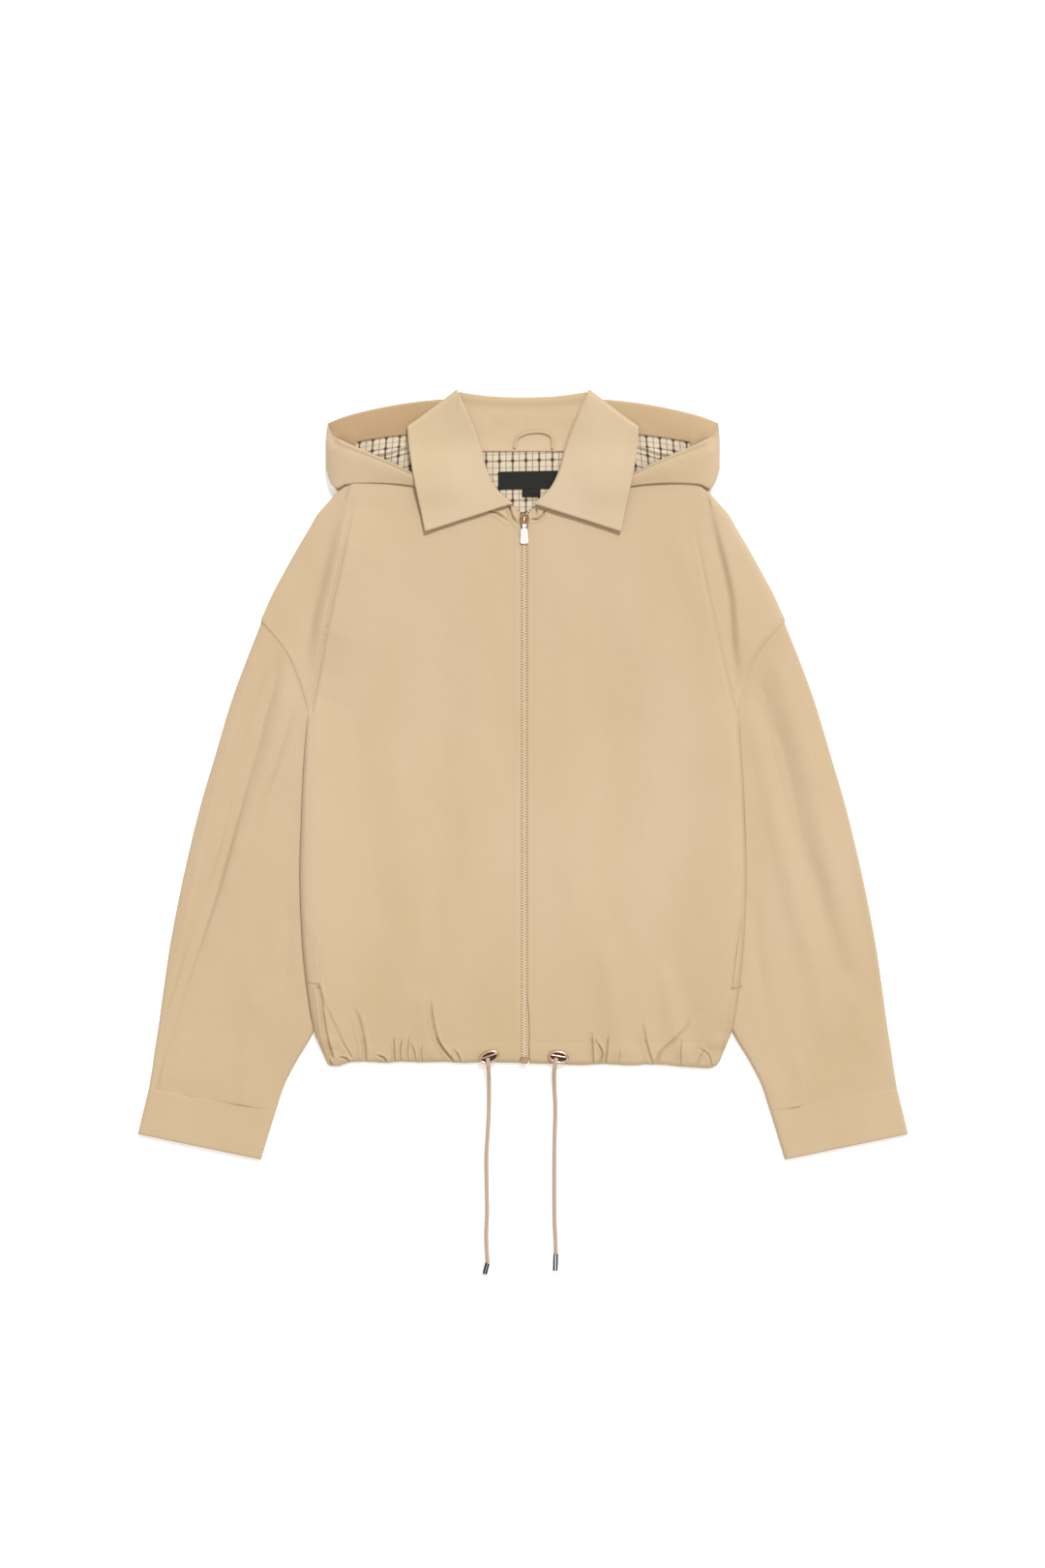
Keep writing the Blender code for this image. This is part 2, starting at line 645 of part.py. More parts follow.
def band_under(x, share):
    """Underside of the hood's near band, over the shoulder, at a share from its foot to its rim."""
    x = abs(x)
    arch = BAND_RISE * (0.2 + 0.8 * sin(pi * min(share, 0.8) / 1.6))
    over_shoulder = HOOD_HEIGHT + 0.8 + CLOTH + REST + LOFT + CLOTH + 0.6
    outer = rounded(189 - x, 26)
    return mix(4.0, over_shoulder, outer) + arch * outer


def make_hood_band(side, sign):
    """The hood's near side, turned up over the shoulder, with its rim rolled inwards."""
    places = [188.6, 187.6, 185, 180, 172, 160, 144, 125, 106, 90, 76]
    profile = [(0.0, 0.0, 0.0), (0.25, 0.25, 0.0), (0.55, 0.55, 0.0), (0.82, 0.82, 0.0),
               (1.0, 1.0, -0.5), (1.0, 1.0, -2.4)]
    rows = []
    for t, share, drop in profile:
        row = []
        for x in places:
            y = mix(follow(BAND_FOOT, x), follow(HOOD_RIM, x), t) + (1.2 if drop < -1 else 0)
            row.append((sign * x, y, band_under(x, share) + drop * rounded(189 - x, 26)))
        rows.append(row[::-int(sign)])
    cloth("hood_band_" + side, rows)


# ---------------------------------------------------------------- collar, neck and labels

def make_collar_fall(side, sign):
    """One side of the collar, turned down over the front and the hood."""
    shares = (0, 0.04, 0.2, 0.45, 0.7, 0.92, 1)
    steps = (0, 0.03, 0.16, 0.3, 0.45, 0.6, 0.75, 0.88, 0.97, 1)
    rows = []
    for v in steps:
        fold, edge = along(COLLAR_FOLD, v), along(COLLAR_EDGE, v)
        row = []
        for u in shares:
            x, y = mix(fold[0], edge[0], u), mix(fold[1], edge[1], u)
            over_band = ease(246, 266, y) * ease(46, 64, x)
            base = front_top(side, sign * x, min(y, 285)) + 0.9 if y < 300 else 13.4
            over_stand = stand_height(y) + CLOTH + 2.4 if y > 300 and x < 68 else 0.0
            z = max(base, 13.4 * ease(240, 275, y), 18.7 * over_band, over_stand)
            z += 2.6 * ease(0.35, 0, u) * ease(0, 0.12, u) + 5.0 * ease(0.35, 1, v) * ease(0.75, 0.1, u)
            z -= 1.6 * (u == 0) + 1.8 * (v == 1)
            row.append((sign * x, y, z))
        rows.append(row[::int(sign)])
    cloth("collar_fall_" + side, rows)


def stand_height(y):
    """Height of the stand's inner face above the surface, rising to the fold behind the neck."""
    return mix(9.85, 17.0, ease(BACK_NECK, COLLAR_TOP, y))


def make_collar_stand():
    """The collar behind the neck: its inner face, and the fold over its top."""
    rows = []
    for v in (0, 0.12, 0.35, 0.6, 0.82, 0.95, 1.0, 1.03, 1.03):
        row = []
        for t in spread(-1, 1, 12):
            x = t * mix(45, 60, min(v, 1))
            y = mix(BACK_NECK - 2.5, COLLAR_TOP + 5.0 * abs(t) ** 2.4, v)
            z = stand_height(min(y, COLLAR_TOP))
            z -= 1.6 * (v >= 1.03)
            row.append((x, y, z))
        rows.append(row)
    last = rows[-1]
    rows[-1] = [(x, y + 0.1, z - 4.5) for x, y, z in last]
    cloth("collar_stand", rows)


def neck_floor(y):
    """Underside of the neck lining, on the back."""
    return back_top(0, y) + REST


def make_neck_lining():
    """The check lining inside the back neck, down to where the fronts meet."""
    rows = []
    widths = ((252, 13), (260, 24), (268, 36), (278, 44), (290, 46), (302, 46), (BACK_NECK - 0.4, 46))
    for y, half in widths:
        rows.append([(x, y, neck_floor(y)) for x in spread(-half, half, 6)])
    cloth("neck_lining", rows, "check", wall=1.0)


def make_label():
    """A bare woven label on the neck lining, and the small size tab below it."""
    label = [[(x, y + x * 0.02, neck_floor(y) + 1.5) for x in (-23.4, -8, 8, 23, 38.4)]
             for y in (274.4, 282.6, 290.8)]
    cloth("neck_label", label, "label", wall=1.0)
    tab = [[(x, y, neck_floor(y) + 1.5) for x in (-0.5, 8, 16.4)] for y in (266.8, 270.4, 273.6)]
    cloth("size_tab", tab, "label", wall=1.0)


def make_hanger_loop():
    """The hanger loop, lying on the stand."""
    route = [(-7.9, 316.5), (-5.6, 322.6), (2.0, 327.2), (10.5, 328.6), (20.0, 328.2), (26.5, 325.0),
             (28.2, 316.5)]
    points = []
    for t in spread(0, 1, 16):
        x, y = along(route, t)
        points.append((x, y, stand_height(y) + CLOTH + 1.9))
    tube("hanger_loop", points, 1.4, "twill")


# ---------------------------------------------------------------- zip

def zip_rows():
    return [HEM_LEVEL + 3.5, -262, -252, -200, -140, -65, 15, 60, 124, 148.5, 168, 187, 205, 222, 238]


def zip_strip(name, sign, near, far, level, wall, rows, colour):
    """A narrow strip beside the zip's middle, following the back's rise."""
    strip = []
    for y in rows:
        splay = 3.4 * ease(248, 258, y)
        strip.append([(ZIP_X + sign * (x + splay), y, back_top(0, y) + level)
                      for x in (near, far)][::int(sign)])
    cloth(name, strip, colour, wall=wall)


def make_zip():
    """Tapes, the two rows of teeth, the box at the bottom and the slider with its tab."""
    for side, sign in (("left", 1), ("right", -1)):
        zip_strip("zip_tape_" + side, sign, 0.2, 8.0, 1.0, 1.0, zip_rows() + [ZIP_TOP], "tape")
        zip_strip("zip_teeth_" + side, sign, 0.15, TOOTH_REACH, 2.3, 2.2, zip_rows() + [248, 258], "gold")
    floor = back_top(0, -272)
    low = (ZIP_X - 3.7, HEM_LEVEL - 1.6, floor + 0.7)
    block("zip_box", low, (ZIP_X + 3.7, HEM_LEVEL + 3.2, floor + 5.4), "gold")


SLIDER_Y = (235.5, 249.0)
HINGE_Y = 238.5


def chain_top():
    return back_top(0, 240) + 4.5


def make_slider():
    """The slider's top plate with the two ears and the pin that hold the pull tab."""
    base = chain_top() + SEAM
    corner = (ZIP_X + 4.4, SLIDER_Y[1], base + 1.8)
    plate = block("zip_slider", (ZIP_X - 4.4, SLIDER_Y[0], base), corner, "gold", 0.6)
    hinge_z = base + 1.8 + 2.1
    ears = []
    for sign in (1, -1):
        x = ZIP_X + sign * 2.6
        corner = (x + 0.7, HINGE_Y + 1.5, hinge_z + 1.3)
        ears.append(block("ear", (x - 0.7, HINGE_Y - 1.5, base + 1.0), corner, "gold", 0))
    ends = [(ZIP_X + x, HINGE_Y, hinge_z) for x in (-2.6, 2.6)]
    pin = as_mesh(tube("pin", ends, 0.7, "gold"), guides)
    join(plate, ears[0], ears[1], pin)
    return hinge_z


def make_pull_tab(hinge_z):
    """The pull tab, hung on the slider's pin and lying down over the teeth."""
    eye_out, eye_in, thick = 1.75, 1.0, 1.3
    outline = bpy.data.curves.new("pull_tab", "CURVE")
    outline.dimensions = "2D"
    outline.fill_mode = "BOTH"
    outline.extrude = thick / 2 * MM
    half = [(0, eye_out), (1.3, eye_out), (1.7, 1.2), (1.7, -2.4), (3.2, -3.4), (4.1, -TAB_LENGTH + 1.6),
            (3.0, -TAB_LENGTH)]
    points = half[1:] + [(-x, y) for x, y in half[:0:-1]]
    line = outline.splines.new("POLY")
    line.points.add(len(points) - 1)
    line.use_cyclic_u = True
    for point, (x, y) in zip(line.points, points):
        point.co = (x * MM, y * MM, 0, 1)
    flat = bpy.data.objects.new("pull_tab", outline)
    jacket.objects.link(flat)
    bpy.context.view_layer.update()
    tab = as_mesh(flat, jacket)
    tab.data.materials.clear()
    tab.data.materials.append(material("gold"))
    tab.location = (ZIP_X * MM, HINGE_Y * MM, hinge_z * MM)
    tab.rotation_euler = (radians(TAB_DROOP), 0, 0)
    barrel = bpy.data.objects.new("tab_barrel", round_bar("tab_barrel", eye_out, 3.2))
    bore = bpy.data.objects.new("tab_bore", round_bar("tab_bore", eye_in, 6.0))
    for guide in (barrel, bore):
        guides.objects.link(guide)
        guide.location = tab.location
        guide.hide_render = True
        guide.display_type = "WIRE"
    for guide, how in ((barrel, "UNION"), (bore, "DIFFERENCE")):
        cut = tab.modifiers.new(guide.name, "BOOLEAN")
        cut.operation = how
        cut.object = guide
        cut.solver = "EXACT"


def round_bar(name, radius, length):
    """A round bar along X, centred."""
    mesh = bpy.data.meshes.new(name)
    shape = bmesh.new()
    bmesh.ops.create_cone(shape, cap_ends=True, segments=16, radius1=radius * MM, radius2=radius * MM,
                          depth=length * MM)
    for vertex in shape.verts:
        vertex.co = (vertex.co.z, vertex.co.y, -vertex.co.x)
    shape.to_mesh(mesh)
    shape.free()
    return mesh


# ---------------------------------------------------------------- drawcord

def eyelet_level(side):
    """Height of an eyelet's wire above the surface, on the hem casing."""
    x, y, _ = EYELETS[side]
    sign = 1 if side == "left" else -1
    cloth_top = back_top(x, y) + REST + LOFT * 0.73 + casing_swell(side, sign, x, 0.5) + CLOTH
    return cloth_top + EYELET_WIRE + SEAM


def make_eyelet(side):
    """An oval metal eyelet with a bar across, on the hem casing."""
    x, y, turn = EYELETS[side]
    level = eyelet_level(side)
    c, s = cos(radians(turn)), sin(radians(turn))

    def placed(across, up, lift=0.0):
        return x + across * c - up * s, y + across * s + up * c, level + lift

    ring = [placed(EYELET_LONG * cos(a), EYELET_SHORT * sin(a)) for a in spread(0, 2 * pi, 22)[:-1]]
    hoop = as_mesh(tube("eyelet_" + side, ring, EYELET_WIRE, "gold", closed=True), jacket)
    ends = [placed(-EYELET_LONG, 1.6), placed(EYELET_LONG, 1.6)]
    join(hoop, as_mesh(tube("eyelet_bar", ends, 0.8, "gold"), guides))


def make_cord(side):
    """One free end of the drawcord, over the eyelet's wire and down to the surface, with its tip."""
    route = CORD_ROUTES[side]
    rim = eyelet_level(side) + EYELET_WIRE + CORD_RADIUS + 0.5
    floor = CORD_RADIUS + 0.15
    heights = [(0, rim - 1.6), (5.5, rim + 0.5), (10, rim - 0.4), (20, mix(rim, floor, 0.55)),
               (32, floor + 0.8), (40, floor), (200, floor)]
    points = []
    for t in spread(0, 1, 24):
        x, y = along(route, t)
        run = route[0][1] - y
        points.append((x, y, max(follow(heights, run), floor)))
    tube("drawcord_" + side, points, CORD_RADIUS, "cord")
    x, y = route[-1]
    length, turn = AGLETS[side]
    across, down = sin(radians(turn)), cos(radians(turn))
    start = SEAM + CORD_RADIUS * across * 1.2
    tip = [(x - across * d, y - down * d, AGLET_RADIUS + 0.1) for d in (start, start + length)]
    tube("aglet_" + side, tip, AGLET_RADIUS, "gold")


# ---------------------------------------------------------------- the whole jacket

jacket = fresh_collection("hooded_jacket")
guides = bpy.data.collections.new("guides")
bpy.context.scene.collection.children.link(guides)

make_back()
make_hidden_hood()
make_hood_facing()
make_neck_lining()
make_label()
make_collar_stand()
make_hanger_loop()
make_zip()
make_pull_tab(make_slider())
for side_name, side_sign in (("left", 1), ("right", -1)):
    make_front(side_name, side_sign)
    make_casing(side_name, side_sign)
    make_pocket(side_name, side_sign)
    make_sleeve(side_name, side_sign)
    make_cuff(side_name, side_sign)
    make_hood_lining(side_name, side_sign)
    make_hood_band(side_name, side_sign)
    make_collar_fall(side_name, side_sign)
    make_eyelet(side_name)
    make_cord(side_name)
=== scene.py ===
from math import cos, pi, radians, sin

import bpy
import numpy as np
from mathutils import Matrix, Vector


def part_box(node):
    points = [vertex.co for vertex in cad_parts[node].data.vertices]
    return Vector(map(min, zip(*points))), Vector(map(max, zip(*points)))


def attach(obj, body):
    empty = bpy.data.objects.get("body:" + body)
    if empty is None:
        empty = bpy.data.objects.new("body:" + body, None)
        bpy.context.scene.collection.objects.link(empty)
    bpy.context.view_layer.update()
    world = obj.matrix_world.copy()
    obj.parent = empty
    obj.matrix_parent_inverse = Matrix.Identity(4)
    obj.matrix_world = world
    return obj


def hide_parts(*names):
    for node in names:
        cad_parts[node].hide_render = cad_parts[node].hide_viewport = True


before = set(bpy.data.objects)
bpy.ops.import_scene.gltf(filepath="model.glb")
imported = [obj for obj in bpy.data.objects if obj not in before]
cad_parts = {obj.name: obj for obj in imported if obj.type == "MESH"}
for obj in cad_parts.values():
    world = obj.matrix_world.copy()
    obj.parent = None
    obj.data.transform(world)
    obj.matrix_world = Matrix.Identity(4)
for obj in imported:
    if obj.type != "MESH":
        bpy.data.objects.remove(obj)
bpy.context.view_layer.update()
mm = 0.001
body = "jacket"


def placed(name, data):   # a new object in the scene
    made = bpy.data.objects.new(name, data)
    bpy.context.scene.collection.objects.link(made)
    return made


view = {"height": 3500.0, "lens": 83.63, "sensor": 36.0, "far": 20.0, "x": -0.5, "y": -8.4}   # straight above
eye = bpy.data.cameras.new("overheadCamera")
eye.lens, eye.sensor_width, eye.clip_end = view["lens"], view["sensor"], view["far"]
camera = placed("overheadCamera", eye)
camera.location = (view["x"] * mm, view["y"] * mm, view["height"] * mm)
bpy.context.scene.camera = camera


# x, y and z can be whole grids; lengths are in millimetres, but for flat sizes, weaves and lights, in metres
def ease(low, high, value):
    t = np.clip((np.asarray(value, float) - low) / (high - low), 0.0, 1.0)
    return t * t * (3 - 2 * t)


def mix(a, b, t):
    return a + (b - a) * t


def rounded(distance, radius):
    t = np.clip(distance / radius, 0.0, 1.0)
    return np.sqrt(np.maximum(1 - (1 - t) ** 2, 0.0))


def downGrid(start, end, count):   # even steps down a grid's rows
    return np.linspace(start, end, count)[:, None]


def acrossGrid(start, end, count):   # even steps across its columns
    return np.linspace(start, end, count)[None, :]


def downSteps(*stretches):   # rows as stretches of (start, end, count), and lists of single ones
    return np.concatenate([np.linspace(*part) if isinstance(part, tuple) else part for part in stretches])[:, None]


def gridOf(x, y, z):
    return np.stack(np.broadcast_arrays(x, y, z), 2).astype(float)


def bell(value, middle, wide):
    return np.exp(-((value - middle) / wide) ** 2)


def curve(table, at):   # value beside a key, on a smooth line through rows of (key, value)
    keys, values = np.array(table, float).T
    slopes = np.gradient(values, keys)
    at = np.clip(np.asarray(at, float), keys[0], keys[-1])
    k = np.clip(np.searchsorted(keys, at) - 1, 0, len(keys) - 2)
    span = keys[k + 1] - keys[k]
    t = (at - keys[k]) / span
    first = values[k] * (2 * t**3 - 3 * t**2 + 1) + slopes[k] * span * (t**3 - 2 * t**2 + t)
    return first + values[k + 1] * (3 * t**2 - 2 * t**3) + slopes[k + 1] * span * (t**3 - t**2)


def along(points, share):   # places at shares of the length of a smooth line through points
    points = np.array(points, float)
    steps = np.concatenate([[0], np.cumsum(np.linalg.norm(np.diff(points, axis=0), axis=1))])
    place = np.asarray(share, float) * steps[-1]
    return np.stack([curve(np.stack([steps, points[:, k]], 1), place) for k in range(points.shape[1])], -1)


noiseForm = {"cells": 97, "shift": (400.3, 400.7)}   # the shift keeps every place on the table positive


def noise(x, y, size, seed):   # soft bumps between -1 and 1, about size mm across
    cells = noiseForm["cells"]
    table = np.random.RandomState(seed).uniform(-1, 1, (cells, cells))
    u, v = (np.asarray(place, float) / size + shift for place, shift in zip((x, y), noiseForm["shift"]))
    i, j = np.floor(u).astype(int), np.floor(v).astype(int)
    s, t = u - i, v - j
    s, t = s * s * (3 - 2 * s), t * t * (3 - 2 * t)
    i, j, nextI, nextJ = i % cells, j % cells, (i + 1) % cells, (j + 1) % cells
    return mix(mix(table[i, j], table[nextI, j], s), mix(table[i, nextJ], table[nextI, nextJ], s), t)


crumples = {   # unevenness of each cloth, as (height, squeeze across, squeeze along, size, seed)
    "front": [(0.65, 1, 0.55, 46, 3), (0.30, 1.4, 0.6, 19, 4), (0.08, 1, 1, 8, 5)],
    "sleeve": [(0.6, 1, 1, 42, 13), (0.3, 1.3, 0.6, 17, 14), (0.1, 1, 1, 8, 15)],
    "cuff": [(0.25, 1, 1, 26, 21), (0.12, 1, 1, 9, 22)],
    "facing": [(0.7, 0.8, 14, 26, 31), (0.25, 1, 30, 9, 32)],
    "leftBand": [(0.7, 1, 1, 30, 42), (0.3, 1, 1, 12, 43), (0.10, 1, 1, 5, 44)],
    "rightBand": [(0.7, 1, 1, 30, 40), (0.3, 1, 1, 12, 43), (0.10, 1, 1, 5, 44)],
    "fall": [(0.40, 1, 1, 38, 51), (0.12, 1, 1, 13, 52)],
    "stand": [(0.6, 1, 1, 30, 61), (0.25, 1, 1, 11, 62)],
    "neck": [(0.25, 1, 1, 16, 71), (0.12, 1, 1, 6, 72)],
    "label": [(0.15, 1, 1, 9, 75)]}


def crumple(cloth, x, y):
    return sum(high * noise(x * across, y * lengthwise, size, seed)
               for high, across, lengthwise, size, seed in crumples[cloth])


def nearWay(way, x, y):   # distance to a line, signed by its side, and the share of its length there
    way = along(way, np.linspace(0, 1, 4 * len(way)))
    best = np.full(np.shape(x), np.inf)
    side, place = np.zeros(np.shape(x)), np.zeros(np.shape(x))
    lengths = np.linalg.norm(np.diff(way, axis=0), axis=1)
    walked = 0.0
    for a, b, length in zip(way, way[1:], lengths):
        dx, dy = (b - a) / length
        t = np.clip((x - a[0]) * dx + (y - a[1]) * dy, 0, length)
        away = np.hypot(x - a[0] - dx * t, y - a[1] - dy * t)
        near = away < best
        best = np.where(near, away, best)
        side = np.where(near, np.sign(dx * (y - a[1]) - dy * (x - a[0])), side)
        place = np.where(near, (walked + t) / lengths.sum(), place)
        walked += length
    return best * side, place


foldForm = {"lip": 0.30, "lipAway": 1.7, "valley": 0.75, "sharpness": 1.6, "slope": 2.5, "fade": 4}


def foldHeight(fold, x, y):   # height that one fold adds
    kind, way, wide, high, start, end = fold
    away, place = nearWay(way, x, y)
    strength = high * np.interp(place, [0, 0.25, 0.75, 1], [start, 1, 1, end])
    if kind == "ridge":
        return strength * bell(away, 0, wide)
    if kind == "crease":   # a sharp line with soft sides
        return strength * np.exp(-np.abs(away) / wide)
    if kind == "pucker":   # a narrow valley between two raised lips
        lips = foldForm["lip"] * bell(np.abs(away), foldForm["lipAway"] * wide, wide)
        return strength * (lips - np.exp(-(np.abs(away) / (foldForm["valley"] * wide)) ** foldForm["sharpness"]))
    rise = 0.5 * (1 + np.tanh(away / wide * foldForm["slope"]))   # a step, fading out on its high side
    return strength * rise * bell(np.maximum(away, 0), 0, wide * foldForm["fade"])


def relief(folds, x, y):
    return sum(foldHeight(fold, x, y) for fold in folds)


class Socket:   # a node's output, for sums written as Python expressions
    def __init__(self, maker, socket):
        self.maker, self.socket = maker, socket

    def math(self, operation, other=0.0, flip=False):
        pair = (other, self) if flip else (self, other)
        return self.maker.node("ShaderNodeMath", {"operation": operation}, {0: pair[0], 1: pair[1]})

    def __add__(self, other):
        return self.math("ADD", other)

    def __radd__(self, other):
        return self.math("ADD", other, True)

    def __sub__(self, other):
        return self.math("SUBTRACT", other)

    def __rsub__(self, other):
        return self.math("SUBTRACT", other, True)

    def __mul__(self, other):
        return self.math("MULTIPLY", other)

    def __rmul__(self, other):
        return self.math("MULTIPLY", other, True)

    def __truediv__(self, other):
        return self.math("DIVIDE", other)

    def __rtruediv__(self, other):
        return self.math("DIVIDE", other, True)


def newNode(tree, kind, settings):   # the settings come first, as they can change the sockets
    made = tree.nodes.new(kind)
    for name, value in (settings or {}).items():
        setattr(made, name, value)
    return made


class Finish:   # one material and the nodes in it
    def __init__(self, name, fixed):
        self.material = bpy.data.materials.new(name)
        self.material.use_nodes = True
        self.tree = self.material.node_tree
        self.shader = self.tree.nodes["Principled BSDF"]
        for socket, value in fixed.items():
            self.shader.inputs[socket].default_value = value

    def node(self, kind, settings=None, values=None, output=0):
        made = newNode(self.tree, kind, settings)
        for key, value in (values or {}).items():
            if isinstance(value, Socket):
                self.tree.links.new(value.socket, made.inputs[key])
            else:
                made.inputs[key].default_value = value
        return Socket(self, made.outputs[output])

    def place(self, kind="Object"):   # Object or UV place on the piece, in metres
        return self.node("ShaderNodeTexCoord", output=kind)

    def parts(self, vector):
        made = self.node("ShaderNodeSeparateXYZ", values={"Vector": vector}).socket.node
        return [Socket(self, output) for output in made.outputs]

    def grain(self, scale, detail=2.0, vector=None):   # soft noise
        return self.node("ShaderNodeTexNoise", values={"Vector": vector or self.place(), "Scale": scale,
                                                       "Detail": detail})

    def between(self, value, start, end):   # smoothly from 0 at the start to 1 at the end
        return self.node("ShaderNodeMapRange", {"interpolation_type": "SMOOTHSTEP"}, {0: value, 1: start, 2: end})

    def blend(self, factor, a, b, how="MIX"):
        return self.node("ShaderNodeMix", {"data_type": "RGBA", "blend_type": how}, {0: factor, 6: a, 7: b}, 2)

    def wave(self, value, pitch):   # 0 to 1 and back, once in each pitch of metres
        return (value / pitch).math("PINGPONG", 0.5) * 2.0

    def done(self, colour, roughness, *bump):   # the finished material; bump is a height, its distance and strength
        ends = {"Base Color": colour, "Roughness": roughness}
        if bump:
            ends["Normal"] = self.node("ShaderNodeBump", values=dict(zip(("Height", "Distance", "Strength"), bump)))
        for name, value in ends.items():
            self.tree.links.new(value.socket, self.shader.inputs[name])
        return self.material


def tinted(colour, tint):
    return tuple(c * t for c, t in zip(colour, tint)) + (1,)


twillLook = {"light": (0.604, 0.450, 0.305), "dark": (0.560, 0.418, 0.250), "pitch": 0.00055, "roughness": 0.81,
             "sheen": 0.12, "spread": 1.9, "slub": 0.25, "level": 0.6, "shade": 0.72, "ribSlant": 0.62,
             "yarnSlant": 1.6, "patches": 11.0, "slubs": 420.0}


def twill(name, tint, drift=None):   # cotton twill; tint scales its colour, and where it makes a darker or lighter copy of the cloth that is painted shade or light; drift is an axis, its start and end, and a tint of painted shade along it
    made = Finish(name, {"Sheen Weight": twillLook["sheen"], "Sheen Roughness": 0.6, "Specular IOR Level": 0.25,
                         "IOR": 1.45})
    x, y, _ = made.parts(made.place("UV"))
    drawn = made.node("ShaderNodeMapping", values={"Vector": made.place(), "Scale": (1.0, 0.4, 1.0)})
    spread, slub = made.grain(twillLook["patches"], 2.5, drawn), made.grain(twillLook["slubs"])
    rib = made.wave(x + y * twillLook["ribSlant"], twillLook["pitch"])
    yarn = made.wave(x - y * twillLook["yarnSlant"], twillLook["pitch"] * 0.7)
    light, dark = (tinted(twillLook[key], tint) for key in ("light", "dark"))
    tone = spread * twillLook["spread"] + slub * twillLook["slub"] - twillLook["level"]
    colour = made.blend(made.node("ShaderNodeClamp", values={"Value": tone}), dark, light)
    weave = made.blend(rib * 0.10 + yarn * 0.05, colour, tinted(dark, [twillLook["shade"]] * 3))
    # painted shade: the colour is multiplied by a tint that grows along one axis
    if drift:
        axis, start, end, far = drift
        share = made.between(made.parts(made.place())[axis], start, end)
        weave = made.blend(share, weave, far + (1,), "MULTIPLY")
    height = rib * 0.5 + yarn * 0.25 + slub * 0.8
    return made.done(weave, slub * 0.1 + twillLook["roughness"], height, 0.00012, 0.6)


checkLook = {"ground": (0.665, 0.560, 0.405, 1), "major": (0.052, 0.018, 0.009, 1), "minor": (0.16, 0.12, 0.08, 1),
             "yarn": (0.35, 0.28, 0.22, 1), "pitch": 0.0127, "majorWide": 0.070, "minorWide": 0.046, "dot": 0.15,
             "strengths": (0.80, 0.52, 0.62, 0.40)}   # major up, major across, minor up, minor across


def check(name):   # cream lining: dark lines each way, darkest where they cross, and thin grey ones halfway
    made = Finish(name, {"Sheen Weight": 0.05, "Specular IOR Level": 0.3})
    u, v, _ = made.parts(made.place("UV"))
    ragged = made.grain(1100.0) * 0.03 - 0.015

    def fade(value, wide):   # 1 on a line's middle, 0 beyond its width
        return made.between(value + ragged, wide * 1.5, wide * 0.4)

    steps = [(value / checkLook["pitch"]).math("PINGPONG", 0.5) for value in (u, v)]
    majors = [fade(step, checkLook["majorWide"]) for step in steps]
    minors = [fade(0.5 - step, checkLook["minorWide"]) for step in steps]
    dot = fade((steps[0] * steps[0] + steps[1] * steps[1]).math("SQRT"), checkLook["dot"])
    majorUp, majorAcross, minorUp, minorAcross = checkLook["strengths"]
    colour = checkLook["ground"]
    for strength, key in ((minors[0] * minorUp, "minor"), (minors[1] * minorAcross, "minor"),
                          (majors[1] * majorAcross, "major"), (majors[0] * majorUp, "major"),
                          (majors[0] * minors[1] * 0.45, "major"), (dot * 0.95, "major")):
        colour = made.blend(strength, colour, checkLook[key])
    weave = made.wave(u, 0.0005) * made.wave(v, 0.0005)
    return made.done(made.blend(weave * 0.10, colour, checkLook["yarn"]), weave * 0.1 + 0.75, weave, 0.0001, 0.5)


def metal(name, base, roughness, metallic=1.0):   # plated zip and eyelet metal, a little worn
    made = Finish(name, {"Metallic": metallic})
    scratch, patch = made.grain(700.0, 3.0), made.grain(160.0)
    colour = made.blend(patch * 0.5, base + (1,), tinted(base, [0.82] * 3))
    return made.done(colour, scratch * 0.18 + (roughness - 0.09), scratch, 0.00002, 0.4)


def woven(name, light, dark, pitch):   # plain woven tape or label
    made = Finish(name, {"Sheen Weight": 0.05, "Specular IOR Level": 0.3})
    u, v, _ = made.parts(made.place("UV"))
    weave = made.wave(u, pitch) * made.wave(v + u * 0.5, pitch * 1.3)
    fleck = made.grain(500.0)
    colour = made.blend(weave * 0.7 + fleck * 0.3, dark + (1,), light + (1,))
    return made.done(colour, fleck * 0.1 + 0.80, weave, 0.0001, 0.6)


braidLook = {"slant": 0.0063, "pitch": 0.0016, "dark": (0.33, 0.235, 0.165, 1), "light": (0.56, 0.41, 0.31, 1)}


def braid(name):   # cotton cord: crossing strands round it, u round and v along
    made = Finish(name, {"Sheen Weight": 0.15, "Specular IOR Level": 0.25})
    u, v, _ = made.parts(made.place("UV"))
    one, two = (made.wave(v + u * slant, braidLook["pitch"]) for slant in (braidLook["slant"], -braidLook["slant"]))
    strand, fuzz = one.math("MAXIMUM", two), made.grain(600.0)
    colour = made.blend(strand * 0.6 + fuzz * 0.4, braidLook["dark"], braidLook["light"])
    return made.done(colour, fuzz * 0.1 + 0.85, strand + fuzz * 0.3, 0.0002, 0.7)


capLook = {"dark": (0.012, 0.010, 0.009, 1), "worn": (0.05, 0.04, 0.03, 1), "pale": (0.86, 0.84, 0.76, 1),
           "lines": [(0.0312, 0.468, 0.02, 0.00075, 1.0), (-0.0354, 0.4735, 0.26, 0.0006, 0.4)]}


def capped(name):   # dark plated cord tips with a painted highlight line along each: place, foot, slant, half width and strength
    made = Finish(name, {"Metallic": 0.4, "Specular IOR Level": 0.5})
    x, y, _ = made.parts(made.place())
    pale = 0.0
    for lineX, foot, slant, wide, strength in capLook["lines"]:
        away = (x - ((y + foot) * slant + lineX)).math("ABSOLUTE")
        pale = made.between(away, wide, wide * 0.4) * strength + pale
    worn = made.grain(500.0)
    dark = made.blend(worn * 0.3, capLook["dark"], capLook["worn"])
    return made.done(made.blend(pale, dark, capLook["pale"]), worn * 0.1 + 0.4)


